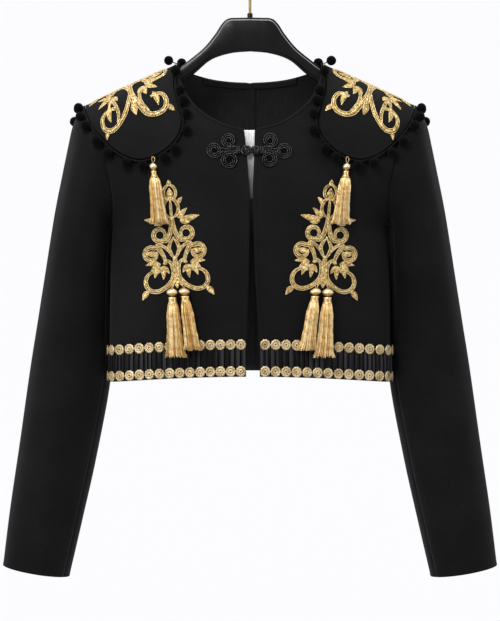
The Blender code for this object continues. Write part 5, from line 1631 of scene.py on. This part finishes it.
# %% Tassel thread
rayon, tree, shader = material("gold_rayon_thread_combed", Roughness=0.3, Metallic=0.45,
    Specular_IOR_Level=0.6)
tint = add(tree, "ShaderNodeAttribute", attribute_name="tint")
place = add(tree, "ShaderNodeTexCoord").outputs["Object"]
drawn = add(tree, "ShaderNodeMapping", {"Vector": place, "Scale": (420, 420, 16)})
fine = add(tree, "ShaderNodeTexNoise", {"Vector": drawn, "Scale": 1.0, "Detail": 2.0})
mixed = add(tree, "ShaderNodeMath", {0: fine, 1: 0.4, 2: tint.outputs["Fac"]}, operation="MULTIPLY_ADD")
surface(tree, shader, mixed, [(0.1, "#7a5118"), (0.42, "#cf9f52"), (0.8, "#efca83"), (1.15, "#fff0c4")],
    fine, 0.5, 0.0004)

wound, tree, shader = material("gold_lurex_thread_wound", Roughness=0.2, Metallic=0.6)
tint = add(tree, "ShaderNodeAttribute", attribute_name="tint")
surface(tree, shader, tint.outputs["Fac"], [(0.1, "#7a5218"), (0.5, "#d9af62"), (0.8, "#fdeec6")])
print("materials:", rayon.name, wound.name)

# %% Tassel form
# Sizes of the tassels; loop is how far the gold loops reach above the ball, pale a lighter thread.
TASSELS = table("ball neck_end foot top_x top_z foot_x foot_z off_top off_foot strands loop pale", [
    (4.7, 6.4, 10.4, 122.8, -262.0, 114.0, -343.0, 1.0, 2.4, 104, 7.6, 0.14),
    (7.0, 7.0, 11.7, 98.6, -419.5, 92.8, -510.5, 0.8, 5.6, 128, 6.4, 0),
    (6.8, 6.4, 9.9, 83.8, -419.5, 71.6, -501.5, 0.8, 5.2, 112, 6.4, 0)])
TASSEL_NAMES = ("shoulder", "outer", "inner")
TASSEL_FLAT = 0.62  # depth of the skirt's foot, a share of its width
BALL_SHARES = (0.048, 0.172)
NECK_SHARES = (0.172, 0.256)


class Tassel:
    """Centre line and sizes of one tassel, in mm."""

    def __init__(self, side, row):
        self.side, self.row = side, row

    def centre(self, share):
        row, share = self.row, np.asarray(share, float)
        x, z, off = (row[top] + (row[foot] - row[top]) * share
            for top, foot in (("top_x", "foot_x"), ("top_z", "foot_z"), ("off_top", "off_foot")))
        thick = row["ball"] + (row["foot"] * TASSEL_FLAT - row["ball"]) * np.clip(share, 0, 1)
        y = body_y(x, z, self.side, FRONT) - off - thick
        return np.stack([self.side * x, y, z], -1)

    def rounds(self, shares, wide, angles, flat=True):
        """Points on rings at shares of the length: half width at each, by angle."""
        shares, wide = np.asarray(shares, float)[:, None], np.asarray(wide, float)
        deep = wide * (1 - (1 - TASSEL_FLAT) * np.clip(shares, 0, 1) * flat)
        middle = self.centre(shares[:, 0])[:, None, :]
        ring = np.stack([wide * np.cos(angles), deep * np.sin(angles), 0 * wide + 0 * angles], -1)
        return middle + ring

    def skirt_wide(self, share):
        t, top = np.clip((share - NECK_SHARES[1]) / (1 - NECK_SHARES[1]), 0, 1.1), self.row["neck_end"] * 0.86
        flare = 1.1 * np.sin(np.pi * np.clip(t * 2.2, 0, 1)) + 0.7 * np.clip((t - 0.93) / 0.07, 0, 1)
        return top + (self.row["foot"] - top) * t + flare


def tassel(name, form, seed):
    """Ball, neck, core and strands of one tassel."""
    row, draw = form.row, np.random.default_rng(seed)
    angles = np.linspace(0, 2 * math.pi, 73)[:-1][None]
    parts = []
    # Ball: threads run over it from pole to pole; it is painted lighter round its upper part as a highlight
    # and darker below as shade.
    t = np.linspace(0.02, 0.98, 22)
    shares = BALL_SHARES[0] + (BALL_SHARES[1] - BALL_SHARES[0]) * t
    wide = row["ball"] * np.maximum(np.sin(np.pi * t) ** 0.62, 0.3)
    ribs = np.cos(24 * angles) * 0.5 + np.cos(13 * angles + 1.3) * 0.3
    ball_highlight_painted = 0.32 + 0.55 * np.exp(-((t - 0.34) / 0.24) ** 2)
    rings = form.rounds(shares, wide[:, None] * (1 + 0.014 * ribs), angles, flat=False)
    parts.append(closed_rounds("ball", rings, wound, ball_highlight_painted[:, None] + 0.08 * ribs))
    # Neck: a few turns of cord with a shiny sleeve between them.
    t = np.linspace(0, 1, 40)
    shares = NECK_SHARES[0] + (NECK_SHARES[1] - NECK_SHARES[0]) * t
    turns = np.abs(np.sin(t * math.pi * 3.5))
    bound = np.where((t < 0.3) | (t > 0.78), 0.07 * turns, 0.01)
    wide = row["ball"] * (0.66 + 0.10 * t + bound)
    rings = form.rounds(shares, wide[:, None] * (1 + 0.01 * ribs), angles, flat=False)
    parts.append(closed_rounds("neck", rings, wound, (0.48 + 0.28 * (bound > 0.02))[:, None] + 0.1 * ribs))
    # Core of the skirt, fluted like bundled thread, and painted dark as the shade between the strands.
    t = np.linspace(0, 0.985, 26)
    shares = NECK_SHARES[1] - 0.01 + (1 - NECK_SHARES[1]) * t
    flutes = sum(np.cos(n * angles + draw.uniform(0, 6.28)) for n in (9, 14, 23)) / 3
    wide = (form.skirt_wide(shares) - 0.8)[:, None] * (1 + 0.045 * flutes * t[:, None])
    wide[0] *= 0.7
    parts.append(closed_rounds("core", form.rounds(shares, wide, angles), rayon,
        0.12 + 0.16 * flutes + 0 * wide))
    # Strands over it, with ragged ends that curl out.
    lines, thick, tints = [], [], []
    count = int(row["strands"])
    for k in range(count):
        angle = 2 * math.pi * (k + draw.uniform(-0.35, 0.35)) / count
        end = 1 + draw.uniform(-0.03, 0.012)
        t = np.linspace(0, 1, 15)
        shares = NECK_SHARES[1] - 0.012 + (end - NECK_SHARES[1] + 0.012) * t
        drift = (draw.uniform(-0.10, 0.10) * t ** 1.5
            + 0.02 * np.sin(t * draw.uniform(4, 9) + draw.uniform(0, 6)))
        out = draw.uniform(-0.35, 0.25) + draw.uniform(0.0, 0.5) * t
        curled = draw.uniform(0.1, 1.9) * np.clip((t - 0.92) / 0.08, 0, 1) ** 2
        wide = form.skirt_wide(shares) - 0.35 * (1 - t) + out * np.clip(t * 4, 0, 1) + curled
        wide = np.where(t < 0.05, row["ball"] * 0.7, wide)
        lines.append(form.rounds(shares, wide[:, None], (angle + drift)[:, None])[:, 0])
        thick.append(np.interp(t, [0, 0.1, 0.85, 1], [0.7, 1.0, 0.95, 0.5]))
        tints.append(draw.uniform(0.02, 0.85) + row["pale"])
    parts.append(cords("strands", lines, 0.52, rayon, plies=3, groove=0.72, pitch=40, step=6.4, thick=thick,
        tint=tints))
    # Two small loops of gold cord above the ball.
    top = form.centre(BALL_SHARES[0] - 0.004)
    for way in (-1, 1):
        t = np.linspace(0, 1, 16)
        swell = np.sin(np.pi * t)
        loop = top + np.stack([way * (0.5 + 1.9 * swell * (0.7 + 0.3 * way)), -0.6 * swell,
            row["loop"] * t], 1)
        parts.append(cords("loop", [loop], 0.55, rayon, plies=2, groove=0.7, pitch=3, step=0.8, tint=[0.55]))
    return together(name, parts)


for side_name, side in SIDES:
    for k, title in enumerate(TASSEL_NAMES):
        row = {column: TASSELS[column][k] for column in TASSELS}
        made = tassel(f"tassel_{title}_{side_name}_thread", Tassel(side, row), 60 + 5 * k + side)
        settle(made, "gold_thread", f"tassel_{title}_{side_name}")
print("tassels:", 2 * len(TASSEL_NAMES), "with", len(made.data.polygons), "faces in the last")

# %% [markdown]
# ## Hanger
# A plain moulded hanger: broad satin-black arms with a bevel inside the rim that catches light, and along
# the top it is also painted light grey as a highlight line; a small collar, and a plated wire hook. The mould
# leaves soft rounded edges. The arms' outline is the imported one, drawn finer, and each ring inside it is
# set in from the rim and given its own depth.

# %% Plastic and brass
plastic, tree, shader = material("black_hanger_plastic_moulded", Specular_IOR_Level=0.25)
place = add(tree, "ShaderNodeTexCoord").outputs["Object"]
grain = add(tree, "ShaderNodeTexNoise", {"Vector": place, "Scale": 1400.0, "Detail": 2.0})
tone_and_painted_shade = add(tree, "ShaderNodeTexNoise", {"Vector": place, "Scale": 40.0, "Detail": 3.0})
surface(tree, shader, tone_and_painted_shade, [(0.3, "#070708"), (0.7, "#0e0e0f")], grain, 0.15, 0.0001)
rough = add(tree, "ShaderNodeMath", {0: tone_and_painted_shade, 1: 0.12, 2: 0.22}, operation="MULTIPLY_ADD")
tree.links.new(rough.outputs[0], shader.inputs["Roughness"])

# Painted highlight: the top bevel is light grey and glossy, so it shows as a pale line.
painted_rim_highlight, _, _ = material("black_hanger_plastic_polished", Base_Color=srgb("#7c7c80"), Roughness=0.3,
    Specular_IOR_Level=1.0)

brass, tree, shader = material("brass_wire_polished", Metallic=1.0)
place = add(tree, "ShaderNodeTexCoord").outputs["Object"]
drawn = add(tree, "ShaderNodeTexNoise", {"Vector": place, "Scale": 300.0, "Detail": 2.0})
surface(tree, shader, drawn, [(0.3, "#86754a"), (0.7, "#9c8859")])
rough = add(tree, "ShaderNodeMath", {0: drawn, 1: 0.08, 2: 0.3}, operation="MULTIPLY_ADD")
tree.links.new(rough.outputs[0], shader.inputs["Roughness"])

# %% Arms
HANGER_TOP = [(0, -73.6), (16, -73.9), (27.0, -74.6), (31.5, -76.6), (34.7, -79.7), (45.1, -94.9),
    (59.8, -112.8), (77.1, -127.2), (95.0, -140.5), (135.0, -159.8), (171.0, -176.2)]
HANGER_TIP = [(176.0, -179.4), (178.0, -184.0), (176.0, -188.0), (171.0, -189.0)]
HANGER_LOWER = [(160.0, -188.0), (150.0, -186.0), (120.0, -174.5), (91.0, -158.5), (73.0, -146.6),
    (50.0, -128.0), (24.0, -119.6), (0, -117.4)]
# How far in each ring of the section lies, and its share of the half thickness.
HANGER_SECTION = [(0.0, 0.30), (0.35, 0.60), (0.9, 0.70), (2.6, 0.72), (3.0, 0.80), (3.45, 0.92),
    (3.75, 0.98), (4.0, 1.0)]
HANGER_BEVEL = (1, 2, 3, 11, 12, 13)  # the rings of faces that make the bevel, front and back
HANGER_HIGHLIGHTED = 94  # points along each half's top edge, whose bevel carries the painted highlight
HANGER_HALF = 5.0

half = np.concatenate([path(HANGER_TOP, np.linspace(0, 1, 90)),
    path([HANGER_TOP[-1]] + HANGER_TIP, np.linspace(0, 1, 14))[1:],
    path([HANGER_TIP[-1]] + HANGER_LOWER, np.linspace(0, 1, 80))[1:]])
outline = np.concatenate([half, half[1:-1][::-1] * (-1, 1)])
along = unit(np.roll(outline, -1, axis=0) - np.roll(outline, 1, axis=0))
inward = np.stack([along[:, 1], -along[:, 0]], 1)
rings = []
for face, section in ((-1, HANGER_SECTION[::-1]), (1, HANGER_SECTION)):
    for inset, deep in section:
        flat = outline + inward * inset
        rings.append(np.insert(flat, 1, face * HANGER_HALF * deep, axis=1))
count, faces = len(outline), round_faces(len(rings), len(outline))
arms = mesh_object("hanger_arms_moulded", np.concatenate(rings), faces, plastic)
arms.data.materials.append(painted_rim_highlight)
# The top bevel, front and back, takes the painted highlight.
for k in HANGER_BEVEL:
    for n in (*range(HANGER_HIGHLIGHTED), *range(count - HANGER_HIGHLIGHTED, count)):
        arms.data.polygons[k * count + n].material_index = 1
face_out(arms)
shape = bmesh.new()
shape.from_mesh(arms.data)
bmesh.ops.triangulate(shape, faces=[f for f in shape.faces if len(f.verts) > 4])
shape.to_mesh(arms.data)
shape.free()
settle(arms, "hanger_plastic", "hanger_arms")

# %% Collar and hook
# Height and radius of each ring of the collar.
FERRULE = [(-73.3, 3.4), (-73.0, 3.6), (-71.2, 3.6), (-70.9, 3.35), (-70.6, 3.6), (-68.9, 3.6),
    (-68.3, 3.3), (-68.0, 2.8)]
angles = np.linspace(0, 2 * math.pi, 33)[:-1]
rings = np.array([np.stack([r * np.cos(angles), r * np.sin(angles), z + 0 * angles], 1) for z, r in FERRULE])
settle(closed_rounds("hanger_collar", rings, plastic, 0.5), "hanger_plastic", "hanger_ferrule")

HOOK_WIRE, CROOK = 1.6, 18.0
HOOK_PLATED = 1.85  # half the width of the wire with its plating
HOOK_FOOT, HOOK_STEM_TOP, HOOK_END = -67.7, -50.0, 205.0
line = CROOK + HOOK_WIRE
swing = ((HOOK_STEM_TOP + CROOK) ** 2 - line ** 2) / (2 * line)
lean = math.atan2(HOOK_STEM_TOP + CROOK, swing)
bend = (math.pi + lean) * np.linspace(0, 1, 30)
stem = np.stack([0 * bend, 0 * bend, np.linspace(HOOK_FOOT, HOOK_STEM_TOP, 30)], 1)[:-1]
swept = np.stack([swing * (1 - np.cos(bend)), 0 * bend, HOOK_STEM_TOP + swing * np.sin(bend)], 1)
around = lean + (math.radians(HOOK_END) - lean) * np.linspace(0, 1, 90)
crook = np.stack([line * np.cos(around), 0 * around, -CROOK + line * np.sin(around)], 1)
wire = np.concatenate([stem, swept, crook[1:]])
hook = cords("hanger_hook_wire", [wire], HOOK_PLATED, brass, plies=8, groove=0.98, pitch=1e6, step=1.0)
settle(hook, "brass_wire", "hanger_hook")
print("hanger:", len(arms.data.polygons), "faces; hook wire", HOOK_PLATED * 2, "mm")

# %% Back neck facing
# The facing inside the back neck shows as a band below the neckline, its lower edge stitched.
x, level = np.meshgrid(np.linspace(-62, 62, 61), np.linspace(0, 1, 9))
z = spline(*np.array(NECK_BACK).T, np.abs(x)) - 0.15 - 6.85 * (1 - level)
grid, found = on_body(1, x, z, -CLOTH - 0.9, BACK)
made = cloth_wall("cloth_neck_facing", grid, found, lining, low=-0.8)
panels["facing", "back"] = settle(made, "wool_cloth", "back_neck_facing")
print("facing:", len(made.data.polygons), "faces")

# %% Centre back seam
# Inside the back, the two panels' allowances are pressed open over the seam, which leaves a fine groove.
x, level = np.meshgrid((-8, -5, -2, -0.9, -0.45, 0, 0.45, 0.9, 2, 5, 8), np.linspace(0, 1, 60))
z = HEM_Z + 1.5 + (NECK_BACK_Z - HEM_Z - 3.5) * level
grid, found = on_body(1, x, z, -CLOTH - GAP, BACK)
grid[..., 1] += 0.3 * np.exp(-(x / 0.5) ** 2)
made = cloth_wall("cloth_seam_centre_back", grid, found, lining, low=-0.5)
panels["seam", "back"] = settle(made, "wool_cloth")
print("seam allowance:", len(made.data.polygons), "faces")

# %% [markdown]
# ## The cloth pieces and their cuts
# Every piece of cloth says the size that it was cut to, so the finished mesh can be measured against
# it. A piece's flat size is what the tape would read along its grid: the longest row across and the
# longest column down, and its area is the sum of its quads. Shaped pieces fill less than the rectangle
# that they were cut from.

# %% Cut sizes
def cut_size(made):
    """Width, length and area of a closed cloth wall, from its UV map and its outer face, in metres."""
    mesh = made.data
    places = np.empty(2 * len(mesh.loops), np.float32)
    mesh.uv_layers["cut"].data.foreach_get("uv", places)
    spans = np.ptp(places.reshape(-1, 2), axis=0)
    area = sum(polygon.area for polygon in mesh.polygons) / 2
    return float(spans[0]), float(spans[1]), area


def declare(made):
    wide, long, area = cut_size(made)
    wide, long = max(wide, 0.01), max(long, 0.01)
    return made.name, round(wide, 3), round(long, 3), round(area, 4)


cuts = []
for (title, side_name), made in panels.items():
    cuts.append(declare(made))
for made in sleeves.values():
    cuts.append(declare(made))
for name in band_cuts:
    cuts.append(declare(bpy.data.objects[name]))
for cut in cuts:
    print(*cut)
